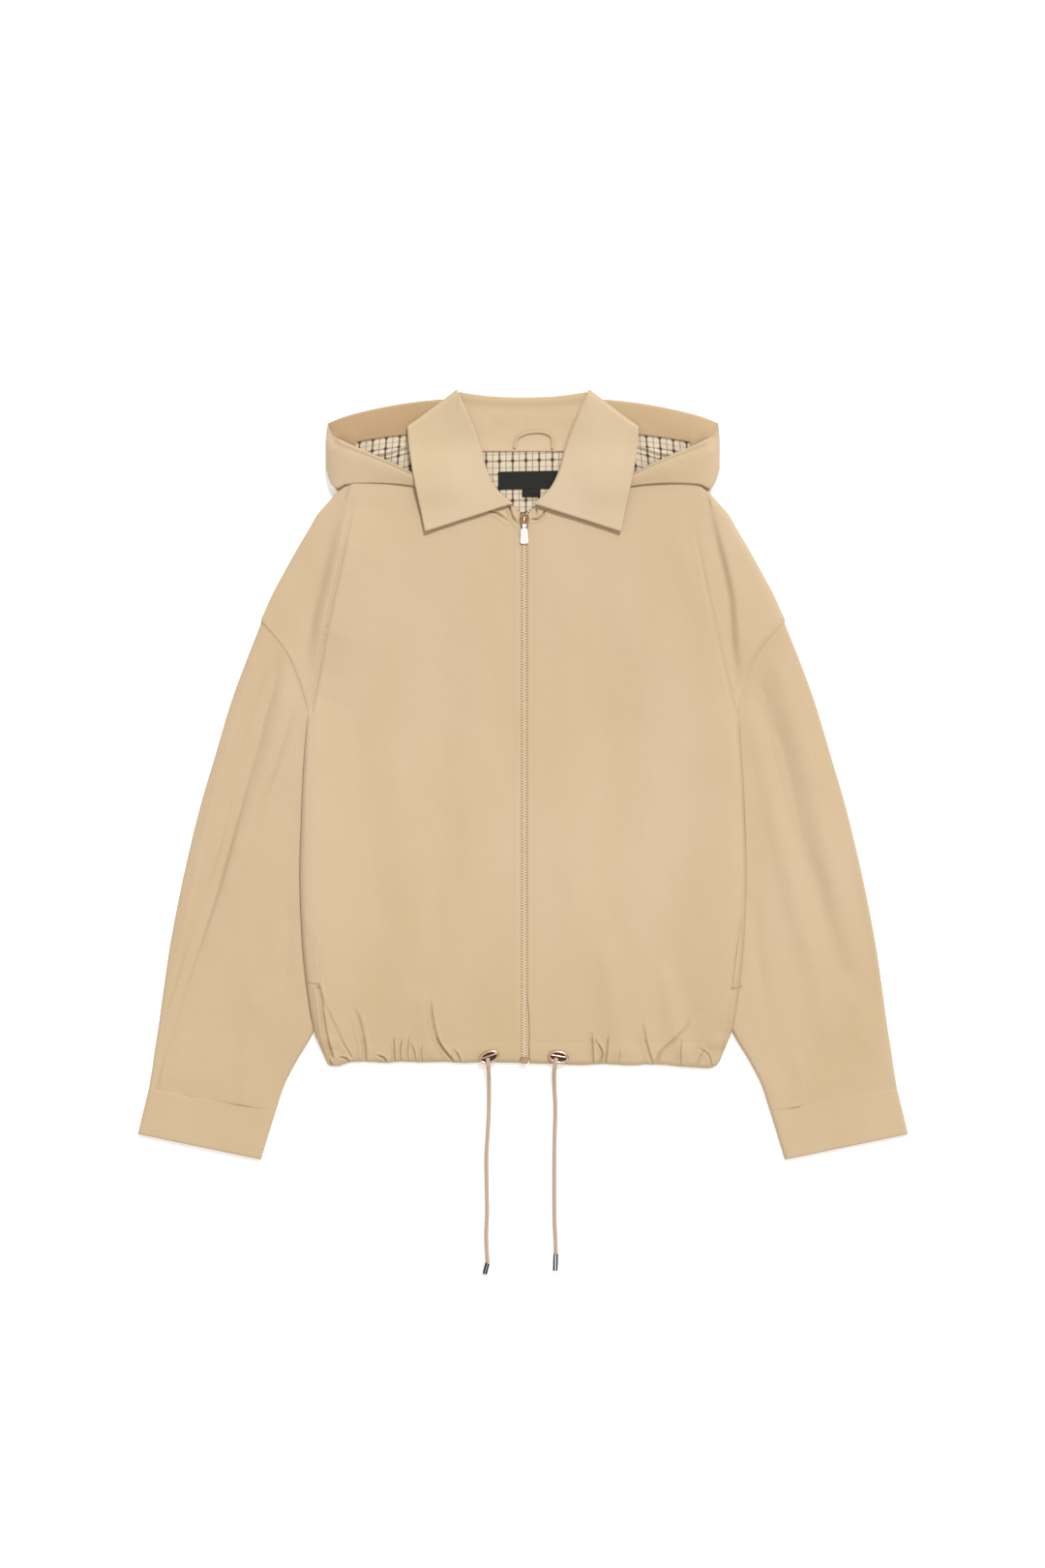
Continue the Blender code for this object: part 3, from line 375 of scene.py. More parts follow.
finishes = {
    # sandTwill: painted shade, darker and yellower towards the hem
    "twill": twill("sandTwill", (0.985, 0.985, 0.975), (1, -0.05, -0.27, (0.935, 0.93, 0.885))),
    # shadedTwill: a darker copy of the same cloth, painted shade on the hood's hidden layers
    "underTwill": twill("shadedTwill", (0.86, 0.82, 0.78)),
    # painted light: a lighter, pinker copy of the same cloth on the collar falls
    "collarTwill": twill("collarTwill", (1.035, 1.055, 1.08)),
    # painted light: a lighter copy of the cloth on the collar stand, with painted shade darker towards its top
    "standTwill": twill("standTwill", (1.07, 1.07, 1.055), (1, 0.345, 0.364, (0.84, 0.81, 0.76))),
    # painted shade: a darker, warmer copy of the cloth inside the hood, lighter towards +x
    "facingTwill": twill("facingTwill", (0.80, 0.722, 0.62), (0, -0.08, 0.12, (1.12, 1.17, 1.24))),
    # painted shade: a slightly darker copy of the cloth on sleeves and cuffs, darker again towards the bottom
    "sleeveTwill": twill("sleeveTwill", (0.965, 0.96, 0.945), (1, 0.05, -0.30, (0.975, 0.97, 0.95))),
    "check": check("checkLining"),
    "gold": metal("brightGold", (0.79, 0.645, 0.455), 0.36, 0.5),
    "slider": metal("agedGold", (0.52, 0.36, 0.24), 0.3),
    "rose": metal("roseGold", (0.66, 0.45, 0.33), 0.3),
    # painted shade: a near-black disc in each eyelet's hole
    "hole": metal("holePaintedShade", (0.035, 0.022, 0.016), 0.6, 0.2),
    # painted highlight: a near-white base colour on the pull tab stands in for its bright reflection
    "tab": metal("tabPaintedGlint", (1.0, 0.97, 0.94), 0.3, 0.75),
    "aglet": capped("agletMetal"),
    "tape": woven("zipTape", (0.66, 0.505, 0.315), (0.45, 0.335, 0.19), 0.0008),
    "label": woven("labelWeave", (0.030, 0.031, 0.027), (0.006, 0.006, 0.006), 0.0006),
    "cord": braid("braidedCord"),
    "thread": woven("seamThread", (0.70, 0.52, 0.33), (0.52, 0.37, 0.22), 0.0003),
}
print("materials made")


def pieceFrom(name, vertices, faces, finish, uvs=None, smooth=True):
    mesh = bpy.data.meshes.new(name)
    mesh.from_pydata((np.asarray(vertices, float) * mm).tolist(), [], faces)
    if uvs is not None:
        layer = mesh.uv_layers.new(name="cloth")
        loops = np.zeros(len(mesh.loops), int)
        mesh.loops.foreach_get("vertex_index", loops)
        layer.data.foreach_set("uv", (np.asarray(uvs, float)[loops] * mm).ravel())
    mesh.validate()
    if smooth:
        mesh.shade_smooth()
    piece = placed(name, mesh)
    mesh.materials.append(finishes[finish])
    return piece


def dress(piece, *nodes):   # it stands for these solids and moves with the jacket
    if nodes:
        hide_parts(*nodes)
    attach(piece, body)
    return piece


def shell(name, top, wall, finish="twill", slot="twill", closed=False, uv=None, flip=False):   # a grid with a wall
    if flip:
        top = top[:, ::-1]
        uv = None if uv is None else uv[:, ::-1]
    rows, columns = top.shape[:2]
    across = np.roll(top, -1, 1) - np.roll(top, 1, 1) if closed else np.gradient(top, axis=1)
    normal = np.cross(across, np.gradient(top, axis=0))
    normal /= np.maximum(np.linalg.norm(normal, axis=2, keepdims=True), 1e-9)
    if uv is None:   # lengths along the cloth
        u = np.cumsum(np.linalg.norm(np.diff(top, axis=1, prepend=top[:, :1]), axis=2), 1)
        v = np.cumsum(np.linalg.norm(np.diff(top, axis=0, prepend=top[:1]), axis=2), 0)
        uv = np.stack([u - u[:, columns // 2:columns // 2 + 1], v], 2)
    index = np.arange(rows * columns).reshape(rows, columns)
    if closed:
        nextOne = np.roll(index, -1, 1)
        corners = index[:-1], nextOne[:-1], nextOne[1:], index[1:]
        rims = [(index[0][::-1], index[1][::-1]), (index[-1], index[-2])]
    else:
        corners = index[:-1, :-1], index[:-1, 1:], index[1:, 1:], index[1:, :-1]
        rims = [(np.concatenate([index[0, ::-1], index[1:, 0], index[-1, 1:], index[-2:0:-1, -1]]),
                 np.concatenate([index[1, ::-1], index[1:, 1], index[-2, 1:], index[-2:0:-1, -2]]))]
    quads = np.stack(corners, -1).reshape(-1, 4)
    faces = [quads, quads[:, ::-1] + index.size]
    upper, lower, places = top.reshape(-1, 3), (top - normal * wall).reshape(-1, 3), uv.reshape(-1, 2)
    points, coordinates = [upper, lower], [places, places]
    made = 2 * index.size
    for loop, inner in rims:   # a rounded edge all round
        out = upper[loop] - upper[inner]
        out /= np.maximum(np.linalg.norm(out, axis=1, keepdims=True), 1e-9)
        points.append((upper[loop] + lower[loop]) / 2 + out * wall * 0.45)
        coordinates.append(places[loop])
        ring = made + np.arange(len(loop))
        made += len(loop)
        following, ringNext = np.roll(loop, -1), np.roll(ring, -1)
        faces.append(np.stack([loop, following, ringNext, ring], 1))
        faces.append(np.stack([ring, ringNext, following + index.size, loop + index.size], 1))
    return pieceFrom(name, np.concatenate(points), np.concatenate(faces).tolist(), finish,
                     np.concatenate(coordinates))


def camel(node):   # hem_casing_left becomes hemCasingLeft
    first, *others = node.split("_")
    return first + "".join(word.title() for word in others)


def clothPiece(node, top, wall, size, held, look=None, **said):   # a shell in a node's place; its flat size is not used
    piece = dress(shell(camel(node), top, wall, **(look or {})), node)


def ringFaces(count, rings, flip=False):   # faces round a stack of rings, closed at both ends
    faces = [tuple(range(count))[::-1], tuple((rings - 1) * count + k for k in range(count))]
    for j in range(rings - 1):
        for k in range(count):
            n = (k + 1) % count
            faces.append((j * count + k, j * count + n, (j + 1) * count + n, (j + 1) * count + k))
    return [face[::-1] for face in faces] if flip else faces


cloth = {"wall": 1.2, "rest": 0.5, "loft": 2.8, "hem": -277.0, "casing": -252.4, "armFoot": 59.8, "backNeck": 313.0,
         "collarTop": 360.0, "hoodHeight": 6.0, "overHood": 0.8, "overSleeve": 5.4, "frontGap": 3.05, "zipX": 1.2,
         "zipTop": 246.0}
sides = {"left": 1, "right": -1}
# half outlines of the body, as (height, distance from the middle)
sideLine = [(-277, 190), (-245, 200), (-212, 205.5), (-180, 209.5), (-145, 212), (-100, 213.5), (-40, 212),
            (20, 209), (60, 205.7)]
armholeLine = [(60, 205.7), (89, 213.6), (122, 229), (148.5, 251.2)]
shoulderLine = [(148.5, 251.2), (172, 241), (194.5, 229), (217, 216.5), (239, 203.4), (250, 197), (261, 187.4)]
shoulderSeam = [(261, 187.4), (268, 181), (275, 174.5), (280, 168), (284, 150), (287, 122), (290, 96), (298, 66),
                (306, 60), (313, 52)]
sleeveCut = [   # outer x, outer y, inner x, inner y, bow, from the armhole to the cuff seam
    (251.6, 148.1, 206.2, 60.0, 7.8), (264.0, 115.0, 204.5, 40.0, 3.0), (280.0, 71.6, 200.0, 5.0, 0.0),
    (296.7, 15.8, 193.0, -40.0, 0.0), (309.8, -28.8, 184.5, -80.0, 0.0), (320.9, -73.5, 180.0, -120.0, 0.0),
    (330.6, -118.0, 178.5, -155.0, 0.0), (339.0, -162.8, 181.0, -190.0, 0.0), (345.2, -205.0, 189.5, -222.0, 0.0),
    (350.0, -240.0, 203.8, -252.0, 0.0), (353.5, -262.0, 217.2, -274.4, 0.0), (356.5, -283.0, 228.8, -297.0, 0.0),
    (359.5, -301.0, 237.3, -322.5, 0.0)]
cuffCut = [(359.5, -300.7, 237.2, -322.2, 0.0), (364.8, -322.5, 244.4, -345.6, 0.0),
           (370.0, -344.0, 251.3, -368.5, 0.0)]


def halfWidth(y):
    y = np.asarray(y, float)
    lines = (sideLine, armholeLine, shoulderLine)
    return np.select([y <= line[-1][0] for line in lines], [curve(line, y) for line in lines], curve(shoulderSeam, y))


def tuck(y):   # width of the sleeve's strip under the body
    rows = sorted((s[3], s[2]) for s in sleeveCut if -260 < s[3] < 55)
    return np.where((y > -252) & (y < 40), np.maximum(halfWidth(y) - curve(rows, y), 0.0), 0.0)


def backUnder(x, y):   # on the surface, but over the sleeves and the hood
    x = np.abs(x)
    up = halfWidth(y) - np.maximum(tuck(y) + 5, 16)
    overSleeve = np.clip((x - up + 18) / 18, 0, 1) * ease(62, 42, y) * ease(-274, -254, y)
    overHood = ease(95, 184, y) * (1 - 0.6 * ease(176, 215, x))
    return np.maximum(cloth["overSleeve"] * overSleeve, (cloth["hoodHeight"] + cloth["overHood"]) * overHood)


def backTop(x, y):
    return backUnder(x, y) + cloth["wall"]


# folds, as (kind, line, width, height, strength at its start, and at its end); those of frontFolds are broad
frontFolds = {
    "left": [
        ("ridge", [(150, 225), (172, 150), (186, 90), (196, 20)], 11, 0.9, 0.3, 0),
        ("ridge", [(196, -25), (200, -100), (192, -185)], 12, 1.2, 0, 0.4),
        ("ridge", [(95, -262), (84, -205), (78, -150)], 10, 1.6, 1, 0),
        ("ridge", [(150, -262), (140, -215), (133, -175)], 9, 1.8, 1, 0),
        ("ridge", [(120, 180), (128, 60), (122, -60)], 24, 1.5, 0, 0),
        ("ridge", [(82, 190), (76, 20), (84, -190)], 16, -1.1, 0, 0),
        ("ridge", [(48, 150), (42, 0), (46, -160)], 20, 1.2, 0, 0)],
    "right": [
        ("ridge", [(-140, 225), (-156, 150), (-172, 80), (-188, 10)], 14, 0.9, 0.3, 0),
        ("ridge", [(-198, -25), (-202, -100), (-194, -175)], 12, 1.2, 0, 0.4),
        ("ridge", [(-98, -200), (-91, -262)], 9, 1.8, 0, 1),
        ("ridge", [(-118, 180), (-128, 60), (-120, -60)], 24, 1.5, 0, 0),
        ("ridge", [(-84, 190), (-76, 20), (-86, -190)], 16, -1.1, 0, 0),
        ("ridge", [(-50, 150), (-44, 0), (-48, -160)], 20, 1.2, 0, 0)]}
fineFolds = {
    "left": [
        ("step", [(180.4, 255), (186.8, 229), (194.1, 200), (199.9, 174), (204.1, 125), (208.5, 87)], 6.5, 5.2, 0.4, 0),
        ("ridge", [(177, 255), (183, 229), (190, 200), (195.5, 174), (199.5, 125), (203, 87)], 4.5, -1.3, 0, 0),
        ("pucker", [(163.7, 238), (175.2, 183), (186.8, 131), (199.9, 73), (205, 52)], 2.2, 1.1, 0, 1),
        ("crease", [(209, -100), (208.5, -130), (206, -150)], 1.6, -1.0, 0.2, 1),
        ("crease", [(206, -150), (202.2, -189), (200.9, -206)], 1.4, -1.4, 0.6, 1),
        ("crease", [(200.9, -206), (197, -235), (190, -268)], 1.2, -2.2, 0.6, 1),
        ("ridge", [(196, -216), (182, -240), (170, -262)], 5, 0.9, 0.5, 0.6),
        ("pucker", [(8.5, 244.6), (14.8, 245.3), (18.5, 248.5), (21, 254)], 1.2, 3.6, 0.6, 0.8),
        ("pucker", [(12.7, 255), (13.2, 248)], 1.0, 3.0, 1, 0.4)],
    "right": [
        ("step", [(-170.1, 261), (-180.2, 220), (-189.0, 183), (-196.1, 154), (-202.0, 125), (-206.9, 100)], 9, 5.6,
         0.3, 0),
        ("ridge", [(-176, 261), (-187, 220), (-196, 183), (-203, 154), (-208, 125), (-211, 100)], 6, -1.6, 0, 0),
        ("pucker", [(-162.3, 264), (-173.1, 209), (-186.1, 151), (-196.1, 99), (-204.1, 59)], 2.3, 2.5, 0, 1),
        ("ridge", [(-210, -135), (-200.5, -154), (-197.1, -180), (-195.4, -198)], 3.2, 0.8, 0.3, 0.8),
        ("crease", [(-201.4, -151.6), (-195.7, -167.4), (-192.6, -185.1), (-190, -202)], 1.3, -0.7, 0.3, 1),
        ("pucker", [(-196, -204), (-193.6, -217), (-191.3, -239), (-188.4, -254), (-184, -270)], 2.0, 4.2, 0.9, 1),
        ("pucker", [(-194.8, -210), (-184, -232), (-172.8, -254)], 1.6, 0.8, 0.8, 0.6),
        ("pucker", [(-13.2, 257), (-10.3, 247.5), (-7.2, 242.7), (-3.6, 239)], 1.2, 4.0, 0.8, 0.9),
        ("pucker", [(-42, 256), (-30, 253), (-20, 247), (-15, 243)], 1.4, 2.6, 0.3, 0.3)]}
puckers = {   # drawn up by the cord: short creases that run up from the hem
    "left": [
        ("pucker", [(67.1, -279), (66.4, -262), (65.2, -246)], 1.1, 2.5, 1, 0.3),
        ("pucker", [(72, -279), (75.8, -267), (69.3, -254)], 1.0, 2.6, 1, 0.3),
        ("pucker", [(78.6, -279), (80.4, -262), (81.5, -248)], 1.1, 2.2, 1, 0.2),
        ("pucker", [(90, -279), (93, -262)], 1.3, 1.2, 1, 0),
        ("pucker", [(124.6, -279), (119, -262), (116.3, -250), (114, -236)], 1.6, 2.3, 1, 0.0),
        ("pucker", [(127, -279), (131, -268), (143, -256), (156, -243), (160, -230)], 1.8, 2.3, 1, 0.0),
        ("pucker", [(151, -279), (150.7, -266), (152, -254)], 1.0, 1.7, 1, 0.2),
        ("pucker", [(166, -280), (170, -270), (175, -262)], 1.0, 1.3, 1, 0.2),
        ("pucker", [(181, -280), (177, -268), (168, -262)], 1.2, 1.8, 1, 0.2)],
    "right": [
        ("pucker", [(-60.5, -279), (-62, -270), (-66, -264)], 1.1, 2.3, 1, 0.4),
        ("pucker", [(-66, -276), (-72, -269), (-80.4, -257.6), (-87.4, -232.5), (-88.8, -213)], 1.4, 3.9, 0.9, 0.05),
        ("pucker", [(-70, -279), (-68.5, -268)], 0.9, 1.8, 1, 0.3),
        ("pucker", [(-96, -279), (-98, -268), (-97, -258)], 0.9, 1.7, 1, 0.2),
        ("pucker", [(-103, -279), (-104, -268), (-108, -256)], 0.9, 2.0, 1, 0.2),
        ("pucker", [(-110, -279), (-111, -262), (-109, -250)], 0.9, 1.8, 1, 0.2),
        ("pucker", [(-116.5, -279), (-118, -264), (-116, -252)], 0.9, 2.2, 1, 0.2),
        ("pucker", [(-123.2, -279), (-123.7, -266), (-124.2, -252)], 1.0, 2.5, 1, 0.3),
        ("pucker", [(-131, -279), (-133, -272), (-140, -269)], 1.1, 2.9, 1, 0.4),
        ("pucker", [(-152, -279), (-152.6, -262), (-155, -248), (-158.6, -233), (-163, -222)], 2.2, 2.8, 1, 0.0),
        ("pucker", [(-166, -277), (-170, -272), (-176, -271)], 1.1, 2.6, 1, 0.5),
        ("pucker", [(-165.5, -270), (-178, -248), (-187, -228), (-190.5, -219)], 1.4, 1.4, 1, 0.2),
        ("pucker", [(-176, -281), (-183.5, -279), (-187, -268)], 1.2, 2.9, 1, 0.6)]}
hemLine = {   # height of the lower edge beside the distance from the middle
    "left": [(0, -276.4), (30, -277.2), (62, -278.2), (76, -277.2), (100, -278.6), (122, -277.6), (150, -279.4),
             (172, -281.0), (182, -280.2), (187, -277.5), (190, -273.0)],
    "right": [(0, -276.2), (40, -275.6), (62, -276.2), (75, -275.2), (100, -275.6), (118, -275.0), (134, -276.2),
              (150, -275.0), (166, -275.8), (176, -278.6), (183, -278.8), (188, -276.5), (190, -272.0)]}
sleeveFolds = {
    "left": [
        ("ridge", [(216, 104), (226, 78), (241, 36), (264, -59), (284, -114), (309, -188), (328, -212)], 11, -2.6,
         1.3, 0.1),
        ("ridge", [(240, 120), (264, 40), (288, -60), (314, -170)], 13, 3.0, 0.7, 0.2),
        ("ridge", [(218, 60), (236, -10), (254, -90), (274, -170), (290, -240)], 11, 2.2, 0.4, 0.3),
        ("ridge", [(298, 40), (318, -60), (334, -160), (346, -250)], 9, -1.6, 0.2, 0.4),
        ("ridge", [(222, -110), (224, -160), (230, -215)], 7, -1.6, 0, 0),
        ("ridge", [(214, -20), (208, -80), (206, -140)], 6, 1.6, 0.2, 0.2),
        ("ridge", [(262, -265), (266, -300), (262, -318)], 6, 1.1, 0, 1)],
    "right": [
        ("ridge", [(-229, 124), (-252, 57), (-287, -78), (-326, -196), (-355, -298)], 7.5, -5.0, 0.7, 0.7),
        ("ridge", [(-222, 95), (-238, 30), (-268, -60), (-300, -170)], 11, 4.0, 0.7, 0.2),
        ("ridge", [(-262, 110), (-288, 20), (-314, -90), (-340, -210)], 9, 3.2, 0.4, 0.4),
        ("ridge", [(-248, -190), (-262, -250), (-276, -305)], 13, 2.2, 0, 0.5),
        ("pucker", [(-262, 20), (-287, -78), (-306, -140), (-326, -196), (-345.5, -255), (-355, -298)], 3.4, 4.4,
         0.3, 1),
        ("pucker", [(-218, 60), (-226, 30), (-236, 0), (-245, -25)], 3.2, 1.2, 0.3, 0),
        ("ridge", [(-226, -110), (-226, -160), (-232, -215)], 7, -1.6, 0, 0),
        ("ridge", [(-212, -20), (-207, -80), (-206, -140)], 6, 1.6, 0.2, 0.2),
        ("ridge", [(-262, -262), (-266, -290), (-268, -312)], 5, 0.8, 0, 1)]}


def frontBase(x, y):   # like the back's top, but with gentler slopes, as the outer cloth bridges them
    x = np.abs(x)
    up = halfWidth(y) - np.maximum(tuck(y) + 5, 16)
    overSleeve = ease(up - 40, up + 12, x) * ease(95, 12, y) * ease(-276, -225, y)
    overHood = ease(30, 232, y) * (1 - 0.6 * ease(170, 215, x))
    low = np.maximum(cloth["overSleeve"] * overSleeve, (cloth["hoodHeight"] + cloth["overHood"]) * overHood)
    return np.maximum(low, backUnder(x, y) - 2.2) + cloth["wall"]


frontForm = {"soft": 12, "drop": {"left": 1.7, "right": 0.9}, "dropWide": 2.5, "sink": {"left": 0.0, "right": 0.2},
             "roll": 0.35, "rollWide": 1.2}


def frontTop(side, x, y, fine=True):
    edge = halfWidth(y) - np.abs(x)
    free = np.maximum(ease(84, 20, y), ease(140, 166, y))   # away from the armhole
    loft = cloth["loft"] * mix(1.0, rounded(edge, frontForm["soft"]), free)
    folds = relief(frontFolds[side], x, y)
    if fine:
        folds = folds + relief(fineFolds[side], x, y) + crumple("front", x, y)
    folds = folds * ease(-1, 6, edge) * ease(0, 5, np.abs(x) - cloth["frontGap"])
    if fine:
        folds = folds + relief(puckers[side], x, y) * ease(0, 5, edge)
    height = frontBase(x, y) + cloth["rest"] + np.maximum(loft + folds, 0.0) + cloth["wall"]
    if fine:
        wide = frontForm["dropWide"]
        height = height - frontForm["sink"][side] * ease(1.5, 0, edge) * (1 - free)   # into the armhole seam
        height = height - frontForm["drop"][side] * rounded(wide - np.clip(edge, 0, wide), wide) * free
        fromZip = np.abs(x - cloth["zipX"]) - cloth["frontGap"]
        height = height - frontForm["roll"] * (1 - rounded(fromZip, frontForm["rollWide"])) * (y < cloth["zipTop"])
    return height


def neckline(side, y):   # inner edge of a front: beside the zip, then round the neck
    rows = [(246, cloth["frontGap"]), (250, 4.6), (254, 7), (258, 12), (261, 18), (267, 27), (275, 34), (284, 43),
            (290, 48), (298, 57)]
    tapeShows = 2.2 * ease(-205, -240, y) * (side == "left")
    return np.where(y < cloth["zipTop"], cloth["frontGap"] + tapeShows, curve(rows, y))


def makeFront(side, sign):
    y = downSteps([cloth["casing"]], (-252.2, -200, 30), (-198, 50, 70), (52, 225, 90), (227, 262, 40),
                  (263.5, 298, 17))
    inner = neckline(side, y) + sign * cloth["zipX"]
    t = acrossGrid(0, 1, 198)
    x = sign * mix(inner, halfWidth(y), mix(t, t * t, 0.2))
    top = gridOf(x, y, frontTop(side, x, y + 0 * x))
    top[..., 0] += sign * 0.5 * (t == 1)
    clothPiece("front_" + side, top, 1.1, (0.213, 0.553), "laid", {"flip": sign < 0}, rests_on=["back_panel"],
               area=0.1095)


def makeBack():
    y = downGrid(cloth["hem"] + 4, cloth["backNeck"], 150)
    x = (halfWidth(y) - 1.8) * acrossGrid(-1, 1, 111)
    clothPiece("back_panel", gridOf(x, y, backTop(x, y)), 1.15, (0.430, 0.590), "laid", area=0.232)


casingForm = {"belly": 0.5, "roll": 5.5, "foot": 0.4, "ripple": 0.35, "rippleLong": 7}


def casingTop(side, x, y, bottom):   # the front's surface goes on, and rolls under at the bottom
    share = np.clip((y - bottom) / (cloth["casing"] - bottom), 0, 1)
    height = frontTop(side, x, y) + casingForm["belly"] * np.sin(pi * share) ** 2
    return mix(backTop(x, y) + casingForm["foot"], height, rounded(y - bottom + 0.3, casingForm["roll"]))


def makeCasing(side, sign):
    share = downSteps([0, 0.012, 0.03, 0.06], (0.1, 0.992, 26), [1.0])
    level = mix(cloth["hem"], cloth["casing"], share)
    inner = neckline(side, -265.0) + sign * cloth["zipX"]
    x = sign * mix(inner, halfWidth(level), acrossGrid(0, 1, 400))
    ripple = casingForm["ripple"] * noise(x, 0 * x, casingForm["rippleLong"], 19)
    bottom = curve(hemLine[side], np.abs(x)) + ripple * ease(55, 70, np.abs(x))
    y = mix(bottom, cloth["casing"], share)
    clothPiece("hem_casing_" + side, gridOf(x, y, casingTop(side, x, y, bottom)), 1.05, (0.220, 0.027), "gathered",
               {"flip": sign < 0}, rests_on=["back_panel"], area=0.0056)


pocketLine = {   # inner edge of each pocket's welt
    "right": [(-210.4, -134.0), (-201.4, -151.6), (-197.0, -172.0), (-195.2, -190.0), (-195.4, -199.0)],
    "left": [(211.0, -128.0), (206.6, -158.0), (203.8, -178.0), (201.8, -192.0), (200.9, -203.0)]}


weltForm = {"inset": 0.8, "swell": 0.45, "lift": 0.2}


def makeWelt(side, sign):   # the welt's end, stitched down beside the side edge
    share, t = downGrid(0, 1, 60), acrossGrid(0, 1, 14)
    rows = along(pocketLine[side], share[:, 0])
    inner, y = np.abs(rows[:, :1]), rows[:, 1:]
    x = mix(inner, halfWidth(y) - weltForm["inset"], t)
    swell = weltForm["swell"] * ease(0, 0.5, share) * ease(0, 0.5, 1 - t)
    z = frontTop(side, sign * x, y + 0 * x) + swell + weltForm["lift"]
    clothPiece("pocket_welt_" + side, gridOf(sign * x, y, z), 0.8, (0.010, 0.070), "laid", {"flip": sign > 0},
               rests_on=["front_" + side], area=0.00055)


makeBack()
for sideName, sideSign in sides.items():
    makeFront(sideName, sideSign)
    makeCasing(sideName, sideSign)
    makeWelt(sideName, sideSign)
print("body made")


def sectionAt(cut, v):   # outer and inner ends of a section at a smooth place v along the cut
    keys = np.arange(len(cut))
    return [curve(np.stack([keys, np.array(cut)[:, k]], 1), v) for k in range(5)]


def sectionPoint(cut, v, t):
    outerX, outerY, innerX, innerY, bow = sectionAt(cut, v)

    def bowed(outerX, outerY, innerX, innerY, bow):
        dx, dy = innerX - outerX, innerY - outerY
        length, bulge = np.hypot(dx, dy), bow * 4 * t * (1 - t)
        return outerX + dx * t + bulge * dy / length, outerY + dy * t - bulge * dx / length

    x, y = bowed(outerX, outerY, innerX, innerY, bow)
    if cut is sleeveCut:   # the first round follows the armhole
        armY = mix(cut[0][1], cloth["armFoot"], t)
        first = np.clip(1 - v, 0, 1)
        startX, startY = bowed(*cut[0])
        x, y = x + first * (halfWidth(armY) - 0.1 - startX), y + first * (armY - startY)
    return x, y


sleeveForm = {"edge": 4.0, "loft": 2.2, "outerSoft": 12, "innerSoft": 10, "cuffLoft": 1.3, "cuffSoft": 9, "lift": 0.2,
              "turned": 0.35, "under": {"left": (-0.9, 0.9), "right": (-1.8, 0.5)},
              "swell": {"left": 0.5, "right": 0.0}, "joinRise": {"left": 0.45, "right": -0.1}}


def sleeveTop(side, sign, x, y, fromOuter, width, v):
    inner = width - fromOuter
    start, end = sleeveForm["under"][side]
    hidden = ease(start, end, halfWidth(y) - np.abs(x)) * ease(-268, -254, y) * ease(60, 44, y)
    swell = mix(sleeveForm["loft"], sleeveForm["cuffLoft"] + sleeveForm["lift"], ease(11, 12, v))
    swell = swell * rounded(fromOuter, sleeveForm["outerSoft"]) * rounded(inner, sleeveForm["innerSoft"])
    swell = swell + sleeveForm["swell"][side] * ease(12, 0, np.abs(x) - halfWidth(y)) * ease(60, 30, y)
    folds = relief(sleeveFolds[side], x, y) + crumple("sleeve", x, y)
    folds = folds * ease(0, 12, fromOuter) * ease(0, 10, inner)
    armY = mix(sleeveCut[0][1], cloth["armFoot"], np.clip(fromOuter / width, 0, 1))
    armX = sign * (halfWidth(armY) - 0.5)
    meet = frontTop(side, armX, armY, fine=False) - sleeveForm["edge"] - cloth["wall"] + 0.5
    height = mix(swell, np.maximum(meet, 0) * rounded(fromOuter, 8), ease(2.2, 0, v))   # meets the front at the armhole
    height = np.maximum(height + folds * ease(0, 1.2, v), 0.0) + sleeveForm["joinRise"][side] * ease(0.4, 0, v)
    return sleeveForm["edge"] + height * (1 - hidden)


def tubeRings(cut, sign, rounds, acrossTop, rise):   # rings round a flattened tube: bottom, edge, top, edge
    v = downGrid(0, len(cut) - 1, rounds)
    outerX, outerY, innerX, innerY, _ = sectionAt(cut, v)
    width = np.hypot(innerX - outerX, innerY - outerY)
    radius = sleeveForm["edge"] / 2
    inset = radius / width
    parts = []
    for start, end, count in ((0, 1, 14), (-60, 60, 5), (1, 0, acrossTop), (120, 240, 5)):
        if count == 5:   # an edge, from one angle to the other
            turn = np.radians(acrossGrid(start, end, count))
            x, y = sectionPoint(cut, v, (1 - inset if start < 0 else inset) + inset * np.cos(turn))
            z = radius + radius * np.sin(turn)
        else:
            t = mix(inset, 1 - inset, acrossGrid(start, end, count))
            x, y = sectionPoint(cut, v, t)
            z = rise(sign * x, y, t * width, width, v) if start else 0.0
        parts.append(gridOf(sign * x, y, z))
    return np.concatenate(parts, 1)


def makeSleeve(side, sign):
    def rise(x, y, fromOuter, width, v):
        return sleeveTop(side, sign, x, y, fromOuter, width, v)

    rings = tubeRings(sleeveCut, sign, 200, 120, rise)
    look = {"finish": "sleeveTwill", "closed": True, "flip": sign > 0}
    clothPiece("sleeve_" + side, rings, 1.05, (0.290, 0.440), "laid", look, area=0.110)


def makeCuff(side, sign):
    def rise(x, y, fromOuter, width, v):
        inner, soft = width - fromOuter, sleeveForm["cuffSoft"]
        height = sleeveForm["edge"] + sleeveForm["cuffLoft"] * rounded(fromOuter, soft) * rounded(inner, soft)
        crisp = crumple("cuff", x, y) * ease(0, 8, fromOuter) * ease(0, 8, inner)
        return height + sleeveForm["lift"] + crisp - sleeveForm["turned"] * ease(1.93, 2.0, v)   # lower at the end

    rings = tubeRings(cuffCut, sign, 30, 62, rise)
    look = {"finish": "sleeveTwill", "closed": True, "flip": sign > 0}
    clothPiece("cuff_" + side, rings, 1.15, (0.252, 0.045), "laid", look, area=0.0110)


for sideName, sideSign in sides.items():
    makeSleeve(sideName, sideSign)
    makeCuff(sideName, sideSign)
print("sleeves made")


